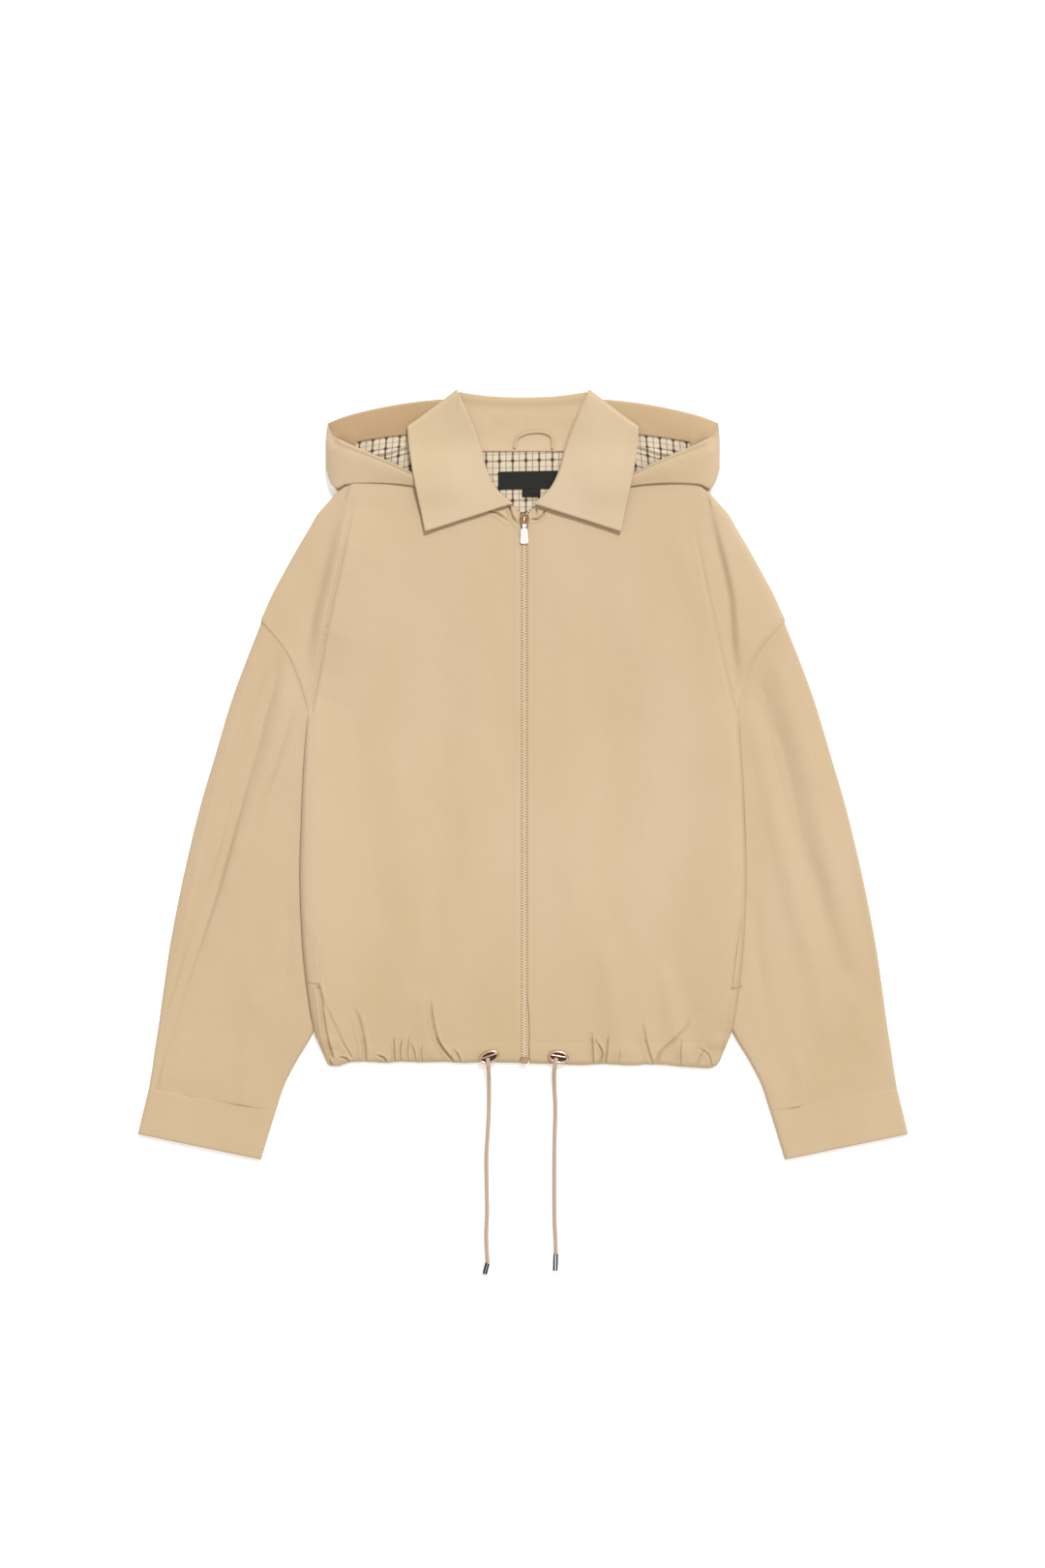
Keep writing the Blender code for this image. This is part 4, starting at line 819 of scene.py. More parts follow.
# the hood's outlines, as (distance from the middle, height), and the hidden layers' as (x, y)
hoodContour = [(0, 360), (80, 360), (112, 356.5), (140, 351.5), (165, 345.5), (180, 340.6), (187.4, 337.6)]
hoodRim = [(75, 281), (107, 289.2), (125, 298), (144, 306.4), (158, 312.3), (172, 318.8), (180, 323.3), (183.6, 326.8),
           (185.6, 330.6), (187.1, 337.2), (188.2, 329), (188.9, 318)]
bandFoot = [(75, 270), (106, 277), (143, 279.5), (170, 278), (181, 276), (186, 284), (188.6, 293)]
facingFoot = [(0, 328), (80, 328), (111, 326.6), (127, 325), (150, 321.5), (166, 319.5), (187, 333)]
hiddenHood = [(0, 187), (60, 190), (105, 203), (140, 228), (158, 248), (171, 265), (181, 276), (184, 300),
              (183, 331), (160, 342), (135, 348), (105, 353), (70, 355), (0, 356)]


def makeHoodLayers():   # folded layers behind the neck, showing as stacked rounded edges
    half = along(hiddenHood, np.linspace(0, 1, 70))
    outline = np.concatenate([half, half[-2:0:-1] * (-1, 1)])
    levels = [(0.0, 3.0), (0.3, 1.4), (0.8, 0.6), (1.5, 0.2), (2.1, 0.6), (2.5, 1.5), (2.8, 2.4), (3.1, 1.6),
              (3.6, 1.0), (4.3, 1.1), (4.9, 1.9), (5.3, 3.0), (5.7, 5.0), (5.9, 8.0), (6.0, 14.0)]   # height, inset
    centre = np.array([0, 270.0])
    away = np.linalg.norm(outline - centre, axis=1, keepdims=True)
    points = np.concatenate([np.insert(centre + (outline - centre) * (1 - inset / away), 2, z, axis=1)
                             for z, inset in levels])
    piece = pieceFrom("hoodLayers", points, ringFaces(len(outline), len(levels)), "underTwill",
                      points[:, :2])
    piece.data.set_sharp_from_angle(angle=radians(60))
    dress(piece, "hood_layers")


hoodForm = {"corner": 189, "bandSoft": 26, "facingSoft": 24, "facingUp": 1.9, "facingLow": 2.6, "belly": 1.4,
            "liningUp": 2.3, "bandUp": 7.1, "bandLow": 4.0, "bandRise": 3.6, "bandCorner": 7.4}


def makeHoodFacing():
    x = acrossGrid(-187.2, 187.2, 300)
    away = np.abs(x)
    foot = curve(facingFoot, away)
    foot = np.where(away > 160, np.minimum(foot, curve(hoodRim, away) - 2.0), foot)
    top = curve(hoodContour, away)
    t = downSteps((0, 0.9, 20), [0.94, 0.97, 0.99, 1.0])
    belly = pi * np.minimum(t, 0.9)
    z = cloth["hoodHeight"] + hoodForm["facingUp"] + hoodForm["belly"] * np.sin(belly / 1.15) * ease(0, 30, top - foot)
    z = z + crumple("facing", x, t) * np.sin(belly / 0.9) - 2.0 * ease(0.93, 1.0, t)
    high = rounded(hoodForm["corner"] - away, hoodForm["facingSoft"])   # low at the corners, under the band
    z = mix(hoodForm["facingLow"], z, high)
    clothPiece("hood_facing", gridOf(x, mix(foot, top, t), z + cloth["wall"]), 1.05, (0.372, 0.036), "laid",
               {"finish": "facingTwill"}, rests_on=["hood_layers"], area=0.0105)


liningForm = {"start": 97, "end": 168, "foot": 291.0, "wrinkle": [(146, 306.5), (128, 310), (111, 315.5), (97, 317)],
              "checkAt": (131.2, 320, -25.4), "lean": 0.08, "widen": 1.22, "shift": 0.9}


def makeHoodLining(side, sign):
    x, t = acrossGrid(liningForm["start"], liningForm["end"], 90), downGrid(0, 1, 60)
    high = curve(facingFoot, x) - 0.3
    y = mix(np.maximum(curve(hoodRim, x) - 2.0, liningForm["foot"]), high, t)
    away, _ = nearWay(liningForm["wrinkle"], x + 0 * t, y)
    ridge = 1.5 * bell(away, 0, 2.0) - 0.9 * bell(away, 3.4, 1.4)
    wrinkle = 0.5 * np.sin(x * 0.31 + t * 2.2) + 0.35 * np.sin(x * 0.17 - t * 3.0)
    z = cloth["hoodHeight"] + hoodForm["liningUp"] + (wrinkle + ridge) * np.sin(pi * t) ** 0.7
    # the check follows the facing, and slants below the wrinkle
    nearFacing = (y - high) * liningForm["widen"] + liningForm["shift"]
    checkX, checkY, below = liningForm["checkAt"]
    belowWrinkle = below + y - (303.2 - 0.27 * (x - 131))
    u = x - checkX + liningForm["lean"] * (y - checkY)
    uv = np.stack([u, mix(belowWrinkle, nearFacing, ease(-1.0, 1.0, -away))], 2)
    look = {"finish": "check", "slot": "check", "uv": uv, "flip": sign < 0}
    clothPiece("hood_lining_" + side, gridOf(sign * x, y, z), 0.9, (0.075, 0.036), "laid", look,
               rests_on=["hood_layers"], area=0.0014)


def bandUnder(x, share):
    arch = hoodForm["bandRise"] * (0.2 + 0.8 * np.sin(pi * np.minimum(share, 0.8) / 1.6))
    outer = rounded(hoodForm["corner"] - x, hoodForm["bandSoft"])
    return mix(hoodForm["bandLow"], cloth["hoodHeight"] + hoodForm["bandUp"], outer) + arch * outer


def makeHoodBand(side, sign):
    x = 188.8 - acrossGrid(0, 1, 110) ** 1.25 * 112.8
    t = downSteps((0, 0.95, 34), [0.975, 0.99, 1.0, 1.0, 1.0])
    drop = downSteps((0, 0, 34), [-0.1, -0.35, -0.9, -1.7, -2.4])
    extra = downSteps((0, 0, 36), [0.5, 1.0, 1.1])
    y = mix(curve(bandFoot, x), curve(hoodRim, x), t) + extra
    outer = rounded(hoodForm["corner"] - x, hoodForm["bandSoft"])
    soft = crumple(side + "Band", x, y) * np.sin(pi * np.clip(t, 0, 1)) ** 0.6
    ridge = 0.7 * bell(t, 0.965, 0.03) - 0.5 * bell(t, 0.88, 0.06)   # the rolled rim
    z = bandUnder(x, t) + cloth["wall"] + (drop + soft + ridge - 0.6 * ease(0.03, 0, t)) * outer
    low = np.minimum(z, hoodForm["bandCorner"])
    z = mix(z, low, ease(310, 326, y) * ease(174, 183, x))   # the corner lies close to the facing
    clothPiece("hood_band_" + side, gridOf(sign * x, y, z), 1.05, (0.120, 0.065), "laid", {"flip": sign > 0},
               rests_on=["front_" + side], area=0.0042)


makeHoodLayers()
makeHoodFacing()
for sideName, sideSign in sides.items():
    makeHoodLining(sideName, sideSign)
    makeHoodBand(sideName, sideSign)
print("hood made")


collarFold = [(10.8, 260.0), (26.0, 274.5), (34.5, 291.0), (40.0, 311.0), (53.5, 346.0), (63.5, 368.0)]
collarEdge = [(93.3, 233.6), (100.0, 264.5), (105.4, 292.0), (108.0, 312.0), (110.4, 333.5)]
collarForm = {"standFoot": 9.85, "standTop": 17.0, "bandTop": 18.4, "hoodTop": 13.4, "reach": 5.0, "soft": 9.0,
              "lift": 0.6, "pointLift": 2.8, "edgeLift": 0.8}


def standHeight(y):
    return mix(collarForm["standFoot"], collarForm["standTop"], ease(cloth["backNeck"], cloth["collarTop"], y))


def draped(layers, x, y, reach, soft):   # a cloth's height over layers, held up a reach beyond them and softened
    step = 1.5
    across, up = np.arange(x.min() - 30, x.max() + 30, step), np.arange(y.min() - 30, y.max() + 30, step)
    grid = layers(*np.meshgrid(across, up))
    for _ in range(int(reach / step)):
        padded = np.pad(grid, 1, mode="edge")
        grid = np.stack([grid, padded[:-2, 1:-1], padded[2:, 1:-1], padded[1:-1, :-2], padded[1:-1, 2:]]).max(0)
    bell = np.exp(-(np.arange(-15, 16) * step / soft) ** 2 / 2)
    bell /= bell.sum()
    for axis in (0, 1):
        grid = np.apply_along_axis(lambda row: np.convolve(np.pad(row, 15, mode="edge"), bell, "valid"), axis, grid)
    j, i = (x - across[0]) / step, (y - up[0]) / step
    j0, i0 = np.floor(j).astype(int), np.floor(i).astype(int)
    s, t = j - j0, i - i0
    return mix(mix(grid[i0, j0], grid[i0, j0 + 1], s), mix(grid[i0 + 1, j0], grid[i0 + 1, j0 + 1], s), t)


def makeCollarFall(side, sign):
    v, u = 0.5 - 0.5 * np.cos(downGrid(0, pi, 110)), 0.5 - 0.5 * np.cos(acrossGrid(0, pi, 80))   # closer at the edges
    fold, edge = along(collarFold, v[:, 0])[:, None, :], along(collarEdge, v[:, 0])[:, None, :]
    x, y = (mix(fold[..., k], edge[..., k], u) for k in (0, 1))

    def layers(x, y):
        front = frontTop(side, sign * x, np.clip(y, -200, 285), fine=False) + 1.0
        band = collarForm["bandTop"] * ((y > 268) & (x > 60) & (y < 300))
        stand = np.where((y > 300) & (x < 66), standHeight(y) + cloth["wall"] + 1.6, 0.0)
        return np.stack([np.where(y < 300, front, collarForm["hoodTop"]), band, stand]).max(0)

    z = draped(layers, x, y, collarForm["reach"], collarForm["soft"]) + collarForm["lift"]
    z = z + collarForm["pointLift"] * ease(0.6, 0, v) + collarForm["edgeLift"] * ease(0.8, 1, u)
    z = np.maximum(z, np.where((x < 62) & (y > 305), standHeight(y) + cloth["wall"] + 1.8, 0))
    z = z + crumple("fall", x, y) * np.sin(pi * u) ** 0.5 * np.sin(pi * v) ** 0.5
    z = z - 1.3 * ease(0.02, 0, u) - 1.6 * ease(0.965, 1, v) - 0.5 * ease(0.98, 1, u) - 0.4 * ease(0.015, 0, v)
    edgeRidge = 0.25 * bell(u, 1, 0.025) + 0.25 * bell(v, 0, 0.02)   # turned seam in the edge
    look = {"finish": "collarTwill", "flip": sign < 0}
    clothPiece("collar_fall_" + side, gridOf(sign * x, y, z + cloth["wall"] + edgeRidge), 2.0, (0.125, 0.105), "folded",
               look, rests_on=["front_" + side], area=0.0095)


def makeCollarStand():
    v = downSteps((0, 0.9, 30), [0.93, 0.955, 0.975, 0.99, 1.0, 1.012, 1.022, 1.03, 1.03, 1.03])
    drop = downSteps((0, 0, 30), [-0.05, -0.15, -0.3, -0.5, -0.8, -1.1, -1.5, -2.2, -3.4, -5.4])
    t = acrossGrid(-1, 1, 70)
    x = t * mix(45, 60, np.minimum(v, 1))
    y = mix(cloth["backNeck"] - 2.5, cloth["collarTop"] + 5.0 * np.abs(t) ** 2.4, v)
    z = standHeight(np.minimum(y, cloth["collarTop"])) + drop + cloth["wall"] + 0.7 * bell(v, 0.93, 0.06)
    z = z + crumple("stand", x, y) * np.sin(pi * np.clip(v, 0, 1))
    clothPiece("collar_stand", gridOf(x, y, z), 1.1, (0.122, 0.062), "folded", {"finish": "standTwill"},
               rests_on=["neck_lining"], area=0.0060)


def neckFloor(y):
    return backTop(0.0, y) + cloth["rest"]


neckForm = {"widths": [(252, 13), (260, 24), (268, 36), (278, 44), (290, 46), (302, 46), (312.6, 46)],
            "check": (2.8, 301.6), "lean": 0.027, "liningUp": 1.0, "labelUp": 2.5}


def makeNeckLining():
    widths, (checkX, checkY) = neckForm["widths"], neckForm["check"]
    y = downGrid(widths[0][0], widths[-1][0], 70)
    x = curve(widths, y) * acrossGrid(-1, 1, 90)
    uv = np.stack([x - checkX, y - checkY - neckForm["lean"] * (x - checkX)], 2)
    z = neckFloor(y) + neckForm["liningUp"] + crumple("neck", x, y)
    clothPiece("neck_lining", gridOf(x, y, z), 0.9, (0.093, 0.061), "laid",
               {"finish": "check", "slot": "check", "uv": uv}, rests_on=["back_panel"], area=0.0048)


def makeLabels():
    look = {"finish": "label", "slot": "label"}
    x = acrossGrid(-23.4, 38.4, 60)
    y = downGrid(274.4, 290.8, 22) + x * 0.02
    z = neckFloor(y) + neckForm["labelUp"]
    clothPiece("neck_label", gridOf(x, y, z + crumple("label", x, y)), 0.8, (0.062, 0.0165), "laid", look,
               rests_on=["neck_lining"])
    x, y = acrossGrid(-0.5, 16.4, 20), downGrid(266.8, 273.6, 12)
    clothPiece("size_tab", gridOf(x, y, neckFloor(y) + neckForm["labelUp"]), 0.8, (0.017, 0.012), "folded", look,
               rests_on=["neck_lining"], area=0.000125)


def tubePiece(name, points, radius, sides, finish, flat=1.0):
    points = np.array(points, float)
    ahead = np.gradient(points, axis=0)
    ahead /= np.linalg.norm(ahead, axis=1, keepdims=True)
    side = np.cross(ahead, (0, 0, 1.0))
    side /= np.linalg.norm(side, axis=1, keepdims=True)
    up = np.cross(side, ahead)
    run = np.concatenate([[0], np.cumsum(np.linalg.norm(np.diff(points, axis=0), axis=1))])
    rings, uvs = [], []
    for k in range(sides):
        a = 2 * pi * k / sides
        rings.append(points + (side * cos(a) + up * sin(a) * flat) * radius)
        uvs.append(np.column_stack([np.full(len(points), 1000 * k / sides), run]))
    return pieceFrom(name, np.stack(rings, 1).reshape(-1, 3), ringFaces(sides, len(points), flip=True), finish,
                     np.stack(uvs, 1).reshape(-1, 2))


loopForm = {"radius": 1.35, "flat": 0.4, "up": 1.3,
            "route": [(-8.3, 313.0), (-7.9, 316.5), (-5.6, 322.6), (2.0, 327.2), (10.5, 328.6), (20.0, 328.2),
                      (26.5, 325.0), (28.2, 318.5), (28.0, 312.5)]}


def makeHangerLoop():
    spots = along(loopForm["route"], np.linspace(0, 1, 60))
    points = np.column_stack([spots, standHeight(spots[:, 1]) + cloth["wall"] + loopForm["up"]])
    loop = tubePiece("hangerLoop", points, loopForm["radius"], 14, "twill", flat=loopForm["flat"])
    dress(loop, "hanger_loop")


makeCollarStand()
makeNeckLining()
makeLabels()
makeHangerLoop()
for sideName, sideSign in sides.items():
    makeCollarFall(sideName, sideSign)
print("collar and neck made")


def repeatTree():   # copies of a shape at an even spacing along every path of a wire mesh
    tree = bpy.data.node_groups.new("repeatAlongPath", "GeometryNodeTree")
    face = tree.interface
    keys = {name: face.new_socket(name, in_out="INPUT", socket_type="NodeSocket" + kind).identifier
            for name, kind in (("Path", "Geometry"), ("Shape", "Object"), ("Spacing", "Float"), ("Uneven", "Float"),
                               ("Seed", "Int"), ("Finish", "Material"))}
    face.new_socket("Result", in_out="OUTPUT", socket_type="NodeSocketGeometry")
    given, result = tree.nodes.new("NodeGroupInput"), tree.nodes.new("NodeGroupOutput")

    def node(kind, settings=None, **links):
        made = newNode(tree, kind, settings)
        for name, source in links.items():
            tree.links.new(source, made.inputs[name])
        return made

    wire = node("GeometryNodeMeshToCurve", Mesh=given.outputs["Path"])
    even = node("GeometryNodeResampleCurve", {"mode": "LENGTH"}, Curve=wire.outputs[0], Length=given.outputs["Spacing"])
    heading = node("FunctionNodeAlignRotationToVector", {"axis": "Y", "pivot_axis": "Z"},
                   Vector=node("GeometryNodeInputTangent").outputs[0])
    chance = node("FunctionNodeRandomValue", {"data_type": "FLOAT"}, Seed=given.outputs["Seed"])
    chance.inputs[2].default_value, chance.inputs[3].default_value = -1.0, 1.0
    amount = node("ShaderNodeMath", {"operation": "MULTIPLY"})
    tree.links.new(chance.outputs[1], amount.inputs[0])
    tree.links.new(given.outputs["Uneven"], amount.inputs[1])
    twist = node("FunctionNodeAxisAngleToRotation", Angle=amount.outputs[0])
    turned = node("FunctionNodeRotateRotation", Rotation=heading.outputs[0])
    tree.links.new(twist.outputs[0], turned.inputs[1])
    shape = node("GeometryNodeObjectInfo", Object=given.outputs["Shape"])
    copies = node("GeometryNodeInstanceOnPoints", Points=even.outputs[0], Instance=shape.outputs["Geometry"],
                  Rotation=turned.outputs[0])
    real = node("GeometryNodeRealizeInstances", Geometry=copies.outputs[0])
    coated = node("GeometryNodeSetMaterial", Geometry=real.outputs[0], Material=given.outputs["Finish"])
    tree.links.new(coated.outputs[0], result.inputs[0])
    return tree, keys


repeating, repeatKeys = repeatTree()


def repeated(name, ways, shape, spacing, finish, uneven=0.0):
    points, edges = [], []
    for way in ways:
        first = len(points)
        points += (np.asarray(way, float) * mm).tolist()
        edges += [(first + k, first + k + 1) for k in range(len(way) - 1)]
    wire = bpy.data.meshes.new(name + "Path")
    wire.from_pydata(points, edges, [])
    carrier = placed(name + "Path", wire)
    modifier = carrier.modifiers.new("repeat", "NODES")
    modifier.node_group = repeating
    for key, value in {"Shape": shape, "Spacing": spacing * mm, "Uneven": uneven, "Seed": 7,
                       "Finish": finishes[finish]}.items():
        modifier[repeatKeys[key]] = value
    graph = bpy.context.evaluated_depsgraph_get()
    made = bpy.data.meshes.new_from_object(carrier.evaluated_get(graph), depsgraph=graph)
    bpy.data.objects.remove(carrier)
    made.materials.clear()
    made.materials.append(finishes[finish])
    made.polygons.foreach_set("material_index", [0] * len(made.polygons))
    piece = placed(name, made)
    return piece


def smallShape(name, rings, smooth=False):   # rings of (x, y, z) in mm, closed at both ends, kept out of the scene
    mesh = bpy.data.meshes.new(name)
    mesh.from_pydata((np.concatenate(rings) * mm).tolist(), [], ringFaces(len(rings[0]), len(rings)))
    if smooth:
        mesh.shade_smooth()
    return bpy.data.objects.new(name, mesh)


zipForm = {"pitch": 2.54, "reach": 2.9, "head": 0.9, "thick": 1.5, "foot": -273.2, "slider": 238.0, "sliderTop": 248.6,
           "tapeWide": 10.0, "boxWide": 3.6, "boxLong": 3.3}


def zipLevel(y):   # underside of the teeth, so that their tops are level with the fronts
    return frontTop("left", cloth["zipX"] + 9.0, y, fine=False) - zipForm["thick"] + 0.25


def toothShape():
    reach, head = zipForm["reach"], zipForm["head"]
    outline = np.array([(-head, -0.35), (-0.3, -0.66), (0.45, -0.50), (1.2, -0.62), (reach - 0.4, -0.74),
                        (reach, -0.45), (reach, 0.45), (reach - 0.4, 0.74), (1.2, 0.62), (0.45, 0.50), (-0.3, 0.66),
                        (-head, 0.35)]) * (1, 1.18)
    rings = []
    for z, wide, long in ((0.0, 1.0, 1.0), (zipForm["thick"] * 0.7, 1.0, 1.0), (zipForm["thick"], 0.9, 0.55)):
        rings.append(np.column_stack([outline[:, 0] * wide + (1 - wide), outline[:, 1] * long, np.full(12, z)]))
    return smallShape("zipTooth", rings)


def makeTeeth():
    ways = []
    for sign, start in ((1, 0.0), (-1, zipForm["pitch"] / 2)):   # the two sides mesh, half a pitch apart
        y = np.arange(zipForm["foot"] + start, zipForm["slider"], 8.0)
        way = np.column_stack([np.full(len(y), cloth["zipX"]), y, zipLevel(y)])
        ways.append(way if sign > 0 else way[::-1])
        spots = along([(cloth["zipX"] + sign * 1.2, zipForm["sliderTop"] + start), (cloth["zipX"] + sign * 3.0, 252.0),
                       (cloth["zipX"] + sign * 6.0, 255.0)], np.linspace(0, 1, 12))
        way = np.column_stack([spots, zipLevel(np.minimum(spots[:, 1], cloth["zipTop"])) - 0.8])
        ways.append(way if sign > 0 else way[::-1])
    shape = toothShape()
    piece = repeated("zipTeeth", ways, shape, zipForm["pitch"], "gold")
    bpy.data.objects.remove(shape)
    dress(piece, "zip_teeth_left", "zip_teeth_right")


def makeTape(side, sign):   # woven tape under the teeth, tucked in below the front's edge
    y = downSteps((-273.5, -200, 60), (-195, 244, 120))
    away = acrossGrid(0.6, zipForm["tapeWide"], 14)
    z = zipLevel(y) - 0.2 + 0.5 * ease(4.2, 2.7, away)
    look = {"finish": "tape", "slot": "tape", "flip": sign < 0}
    clothPiece("zip_tape_" + side, gridOf(cloth["zipX"] + sign * away, y, z), 0.6, (0.010, 0.523), "laid", look,
               rests_on=["back_panel"], area=0.0050)


sliderForm = {"wall": 1.5, "up": 1.9, "lobe": 1.5, "lobeAway": 2.5, "lobeWide": 1.05, "notch": 1.1, "notchWide": 1.0,
              "roll": 0.9, "foot": 0.8}


def makeSlider():   # a domed plate with two shoulders, and a notch between them
    low, high = (np.array(corner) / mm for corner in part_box("zip_slider"))
    y, t = downGrid(low[1], high[1], 40), acrossGrid(-1, 1, 33)
    x = curve([(low[1], 2.7), (low[1] + 3, 3.0), (low[1] + 7, 4.0), (high[1] - 2, 4.4), (high[1], 3.5)], y) * t
    up = (y - low[1]) / (high[1] - low[1])
    lobes = sliderForm["lobe"] * bell(np.abs(x), sliderForm["lobeAway"], sliderForm["lobeWide"])
    notch = sliderForm["notch"] * bell(x, 0, sliderForm["notchWide"]) * ease(0.55, 0.95, up)
    z = low[2] + sliderForm["up"] + lobes * ease(0.25, 0.6, up) * ease(1.02, 0.85, up) - notch
    z = z - sliderForm["roll"] * (1 - rounded(1 - np.abs(t), 0.25)) - sliderForm["foot"] * ease(0.08, 0, up)
    dress(shell("zipSlider", gridOf(cloth["zipX"] + x, y, z), sliderForm["wall"], "slider", "gold"), "zip_slider")


def makeZipBox():   # the closed box at the zip's foot
    turn = np.linspace(0, 2 * pi, 24, endpoint=False)
    corner = np.stack([np.sign(wave) * np.abs(wave) ** 0.4 for wave in (np.cos(turn), np.sin(turn))], 1)
    rings = [np.column_stack([corner * (zipForm["boxWide"] * size, zipForm["boxLong"] * size)
                              + (cloth["zipX"], zipForm["foot"] - 0.4), np.full(24, z)])
             for z, size in ((2.2, 0.9), (2.8, 1.0), (7.3, 1.0), (7.9, 0.86))]
    piece = pieceFrom("zipBox", np.concatenate(rings), ringFaces(24, len(rings)), "slider", smooth=False)
    dress(piece, "zip_box")


makeTeeth()
for sideName, sideSign in sides.items():
    makeTape(sideName, sideSign)
makeSlider()
makeZipBox()
print("zip made")


stitchForm = {"long": 2.3, "wide": 0.24, "pitch": 3.1}
tackForm = {"long": 1.9, "wide": 0.22, "pitch": 0.42}


def stitchShape(form):
    rings = []
    turn = np.linspace(0, 2 * pi, 6, endpoint=False)
    for share, size in ((0.5, 0.3), (0.38, 0.85), (0.0, 1.0), (-0.38, 0.85), (-0.5, 0.3)):
        wide, place = form["wide"] * size, np.full(6, form["long"] * share)
        rings.append(np.column_stack([wide * np.cos(turn), place, 0.75 * wide * np.sin(turn)]))
    return smallShape("stitch", rings, smooth=True)


def onFront(side, sign, rows, lift=0.0):   # a line of stitches on a front
    rows = along(rows, np.linspace(0, 1, 120))
    x = sign * rows[:, 0]
    return np.column_stack([x, rows[:, 1], frontTop(side, x, rows[:, 1]) + lift])


def makeStitches():
    ways, tacks = [], []
    for side, sign in sides.items():
        inner = 9.6 + sign * cloth["zipX"]
        ways.append(onFront(side, sign, [(inner, -250), (inner, -80), (inner, 80), (inner, 236)]))
        x = np.linspace(inner + 1, halfWidth(-255.0) - 1.5, 200)
        y = np.full(200, -254.9)
        ways.append(np.column_stack([sign * x, y, casingTop(side, sign * x, y, curve(hemLine[side], x))]))
        welt = np.array(pocketLine[side]) * (sign, 1)
        ways.append(onFront(side, sign, welt - (1.3, 0)))
        endX, endY = welt[-1]
        tacks.append(onFront(side, sign, [(endX - 1.5, endY - 0.6), (endX + 3, endY), (endX + 8.5, endY + 1.0)], 0.5))
    shape = stitchShape(stitchForm)
    dress(repeated("seamStitches", ways, shape, stitchForm["pitch"], "thread", uneven=0.06))
    bpy.data.objects.remove(shape)
    shape = stitchShape(tackForm)
    shape.data.transform(((0, 1, 0, 0), (-1, 0, 0, 0), (0, 0, 1, 0), (0, 0, 0, 1)))   # they lie side by side
    dress(repeated("barTacks", tacks, shape, tackForm["pitch"], "thread", uneven=0.1))
    bpy.data.objects.remove(shape)


makeStitches()
print("stitches made")


cordForm = {"radius": 2.0, "eyeletWire": 1.1}
cordRoutes = {
    "left": [(31.8, -271.2), (31.0, -276), (30.1, -285.5), (30.3, -299), (31.2, -319), (30.7, -341), (30.3, -362),
             (30.2, -400), (30.5, -430), (31.4, -449), (31.6, -459.5)],
    "right": [(-33.9, -271.2), (-33.2, -278), (-32.6, -287), (-32.5, -300), (-32.6, -319), (-33.6, -341),
              (-34.9, -362), (-34.6, -400), (-34.4, -420), (-35.2, -442), (-34.0, -467.8)]}
eyelets = {"left": (34.0, -270.2, -9.0), "right": (-32.6, -270.2, 19.0)}   # middle, and turn in degrees
eyeletForm = {"long": 8.7, "wide": 5.0, "wire": 1.35, "bar": 1.0, "barLong": 8.0, "barAway": 0.9, "barUp": 0.4}


def eyeletLevel(side):   # the wire's height, just clear of the casing
    low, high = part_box("eyelet_" + side)
    return (low[2] + high[2]) / 2 / mm


def makeEyelet(side):   # an oval ring round a hole filled by a near-black disc of painted shade, with a bar across
    x, y, turn = eyelets[side]
    c, s = cos(radians(turn)), sin(radians(turn))
    level = eyeletLevel(side)

    def spot(a, b, z):
        return (x + c * a - s * b, y + s * a + c * b, level + z)

    def oval(angles, less, z):
        return [spot((eyeletForm["long"] - less) * cos(a), (eyeletForm["wide"] - less) * sin(a), z) for a in angles]

    bar = [spot(a, eyeletForm["barAway"], eyeletForm["barUp"])
           for a in np.linspace(-eyeletForm["barLong"], eyeletForm["barLong"], 9)]
    hole = [oval(np.linspace(0, 2 * pi, 40, endpoint=False), 0.3, z) for z in (-1.2, -0.5)]
    ring, name = oval(np.linspace(0, 2 * pi, 61), 0, 0), "eyelet" + side.title()
    for piece in (tubePiece(name + "Ring", ring, eyeletForm["wire"], 12, "rose"),
                  tubePiece(name + "Bar", bar, eyeletForm["bar"], 10, "rose"),
                  pieceFrom(name + "Hole", np.concatenate(hole), ringFaces(40, 2), "hole", smooth=False)):
        dress(piece, "eyelet_" + side)


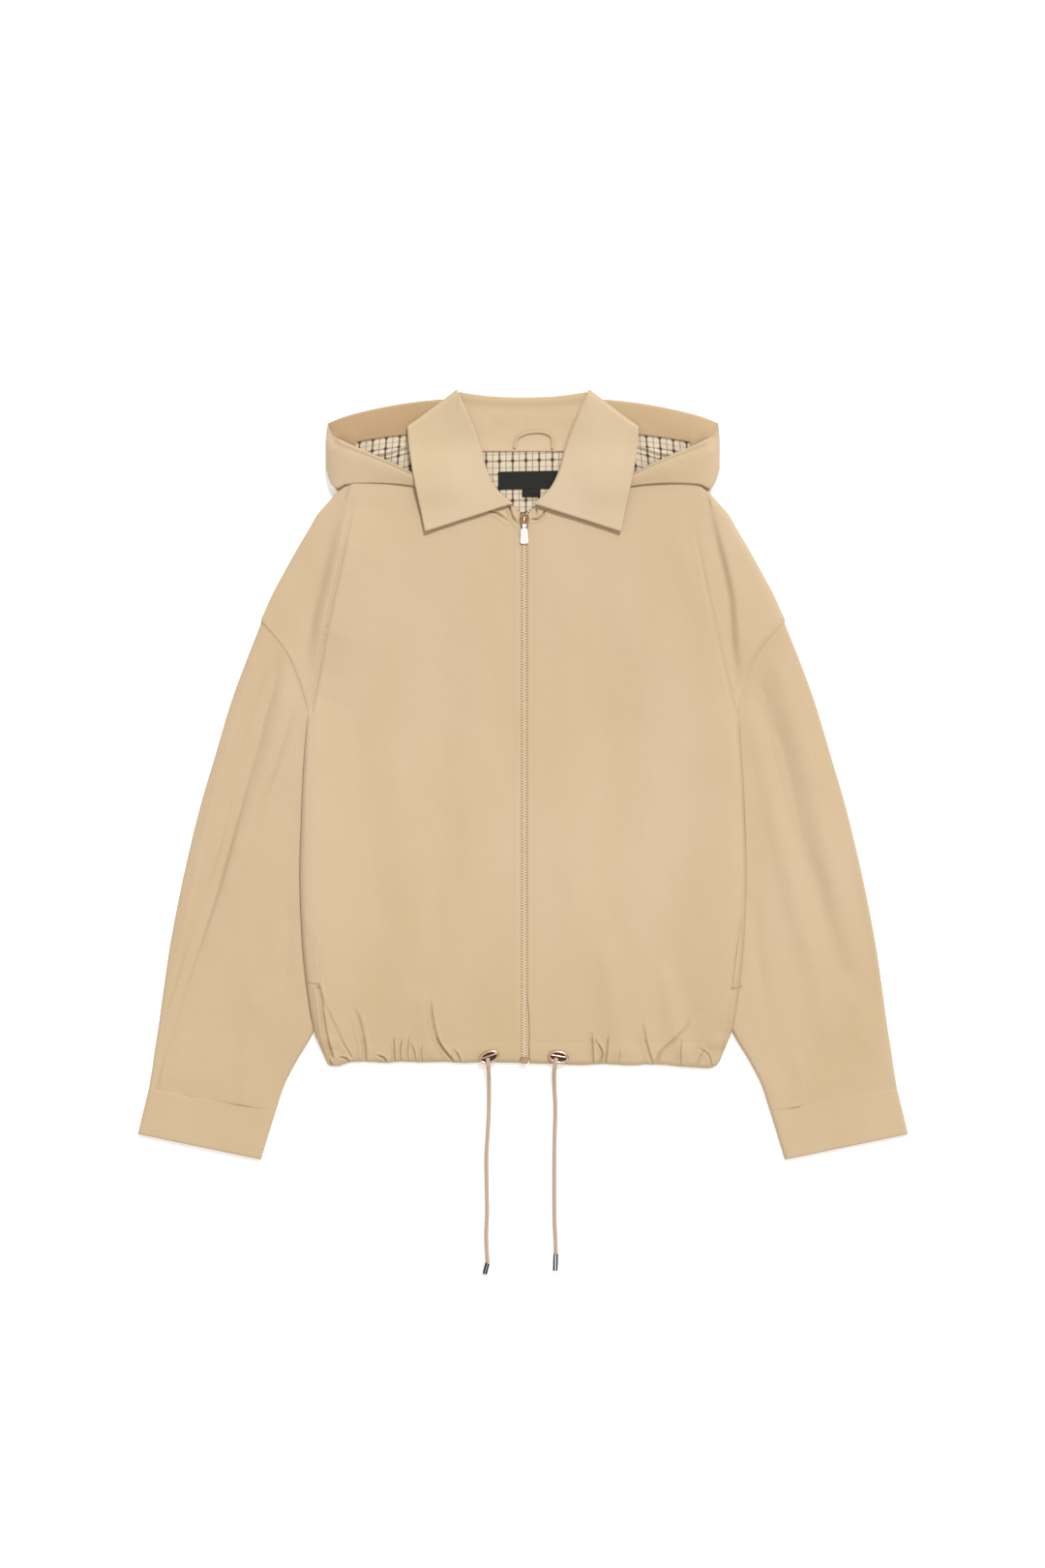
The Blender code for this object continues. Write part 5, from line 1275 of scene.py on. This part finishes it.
def cordPoints(side, count):
    route = cordRoutes[side]
    rim = eyeletLevel(side) + cordForm["eyeletWire"] + cordForm["radius"] + 0.5
    floor = cordForm["radius"] + 0.15
    heights = [(0, rim - 1.6), (5.5, rim + 0.5), (10, rim - 0.4), (20, mix(rim, floor, 0.55)), (32, floor + 0.8),
               (40, floor), (200, floor)]
    spots = along(route, np.linspace(0, 1, count))
    run = route[0][1] - spots[:, 1]
    return np.column_stack([spots, np.maximum(curve(heights, run), floor)])


def makeCord(side):
    points = cordPoints(side, 200)
    piece = tubePiece("drawcord" + side.title(), points, cordForm["radius"], 20, "cord")
    dress(piece, "drawcord_" + side)


for sideName in sides:
    makeCord(sideName)
    makeEyelet(sideName)
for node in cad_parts.values():
    for word, key in {"aglet": "aglet", "pull_tab": "tab"}.items():
        if word in node.name:
            for slotItem in node.material_slots:
                slotItem.material = finishes[key]


lights = {   # kind, place in metres, size in metres or angle in degrees, strength
    "key": ("SUN", (0.50, 1.45, 2.0), 10.0, 2.48), "fill": ("AREA", (1.2, -1.6, 2.6), 1.6, 9.0),
    "card": ("AREA", (0.0, -1.25, 3.3), 0.8, 4.2)}   # the card only shows in the metal
studio = {"sun": (0.945, 1.0, 1.07), "sky": (1.0, 0.945, 0.87, 1), "skyStrength": 0.60, "floor": 15.0}
for name, (kind, place, size, power) in lights.items():
    lamp = bpy.data.lights.new(name, kind)
    lamp.energy = power
    if kind == "SUN":
        lamp.color = studio["sun"]
        lamp.angle = radians(size)
    else:
        lamp.shape, lamp.size = "SQUARE", size
    lightObject = placed(name, lamp)
    lightObject.location = place
    lightObject.rotation_euler = (-Vector(place)).to_track_quat("-Z", "Y").to_euler()

world = bpy.data.worlds.new("studio")
world.use_nodes = True
sky = world.node_tree.nodes["Background"].inputs
sky["Color"].default_value, sky["Strength"].default_value = studio["sky"], studio["skyStrength"]
bpy.context.scene.world = world
bpy.context.scene.view_settings.view_transform = "Standard"

floorMesh = bpy.data.meshes.new("floor")
corners = [(x * studio["floor"], y * studio["floor"], -0.0005) for x, y in ((-1, -1), (1, -1), (1, 1), (-1, 1))]
floorMesh.from_pydata(corners, [], [(0, 1, 2, 3)])
floor = placed("floor", floorMesh)
paper = Finish("palePaper", {"Roughness": 0.9, "Specular IOR Level": 0.1, "Base Color": (0.96, 0.96, 0.96, 1),
                             "Emission Color": (1, 1, 1, 1), "Emission Strength": 0.3})
floorMesh.materials.append(paper.material)
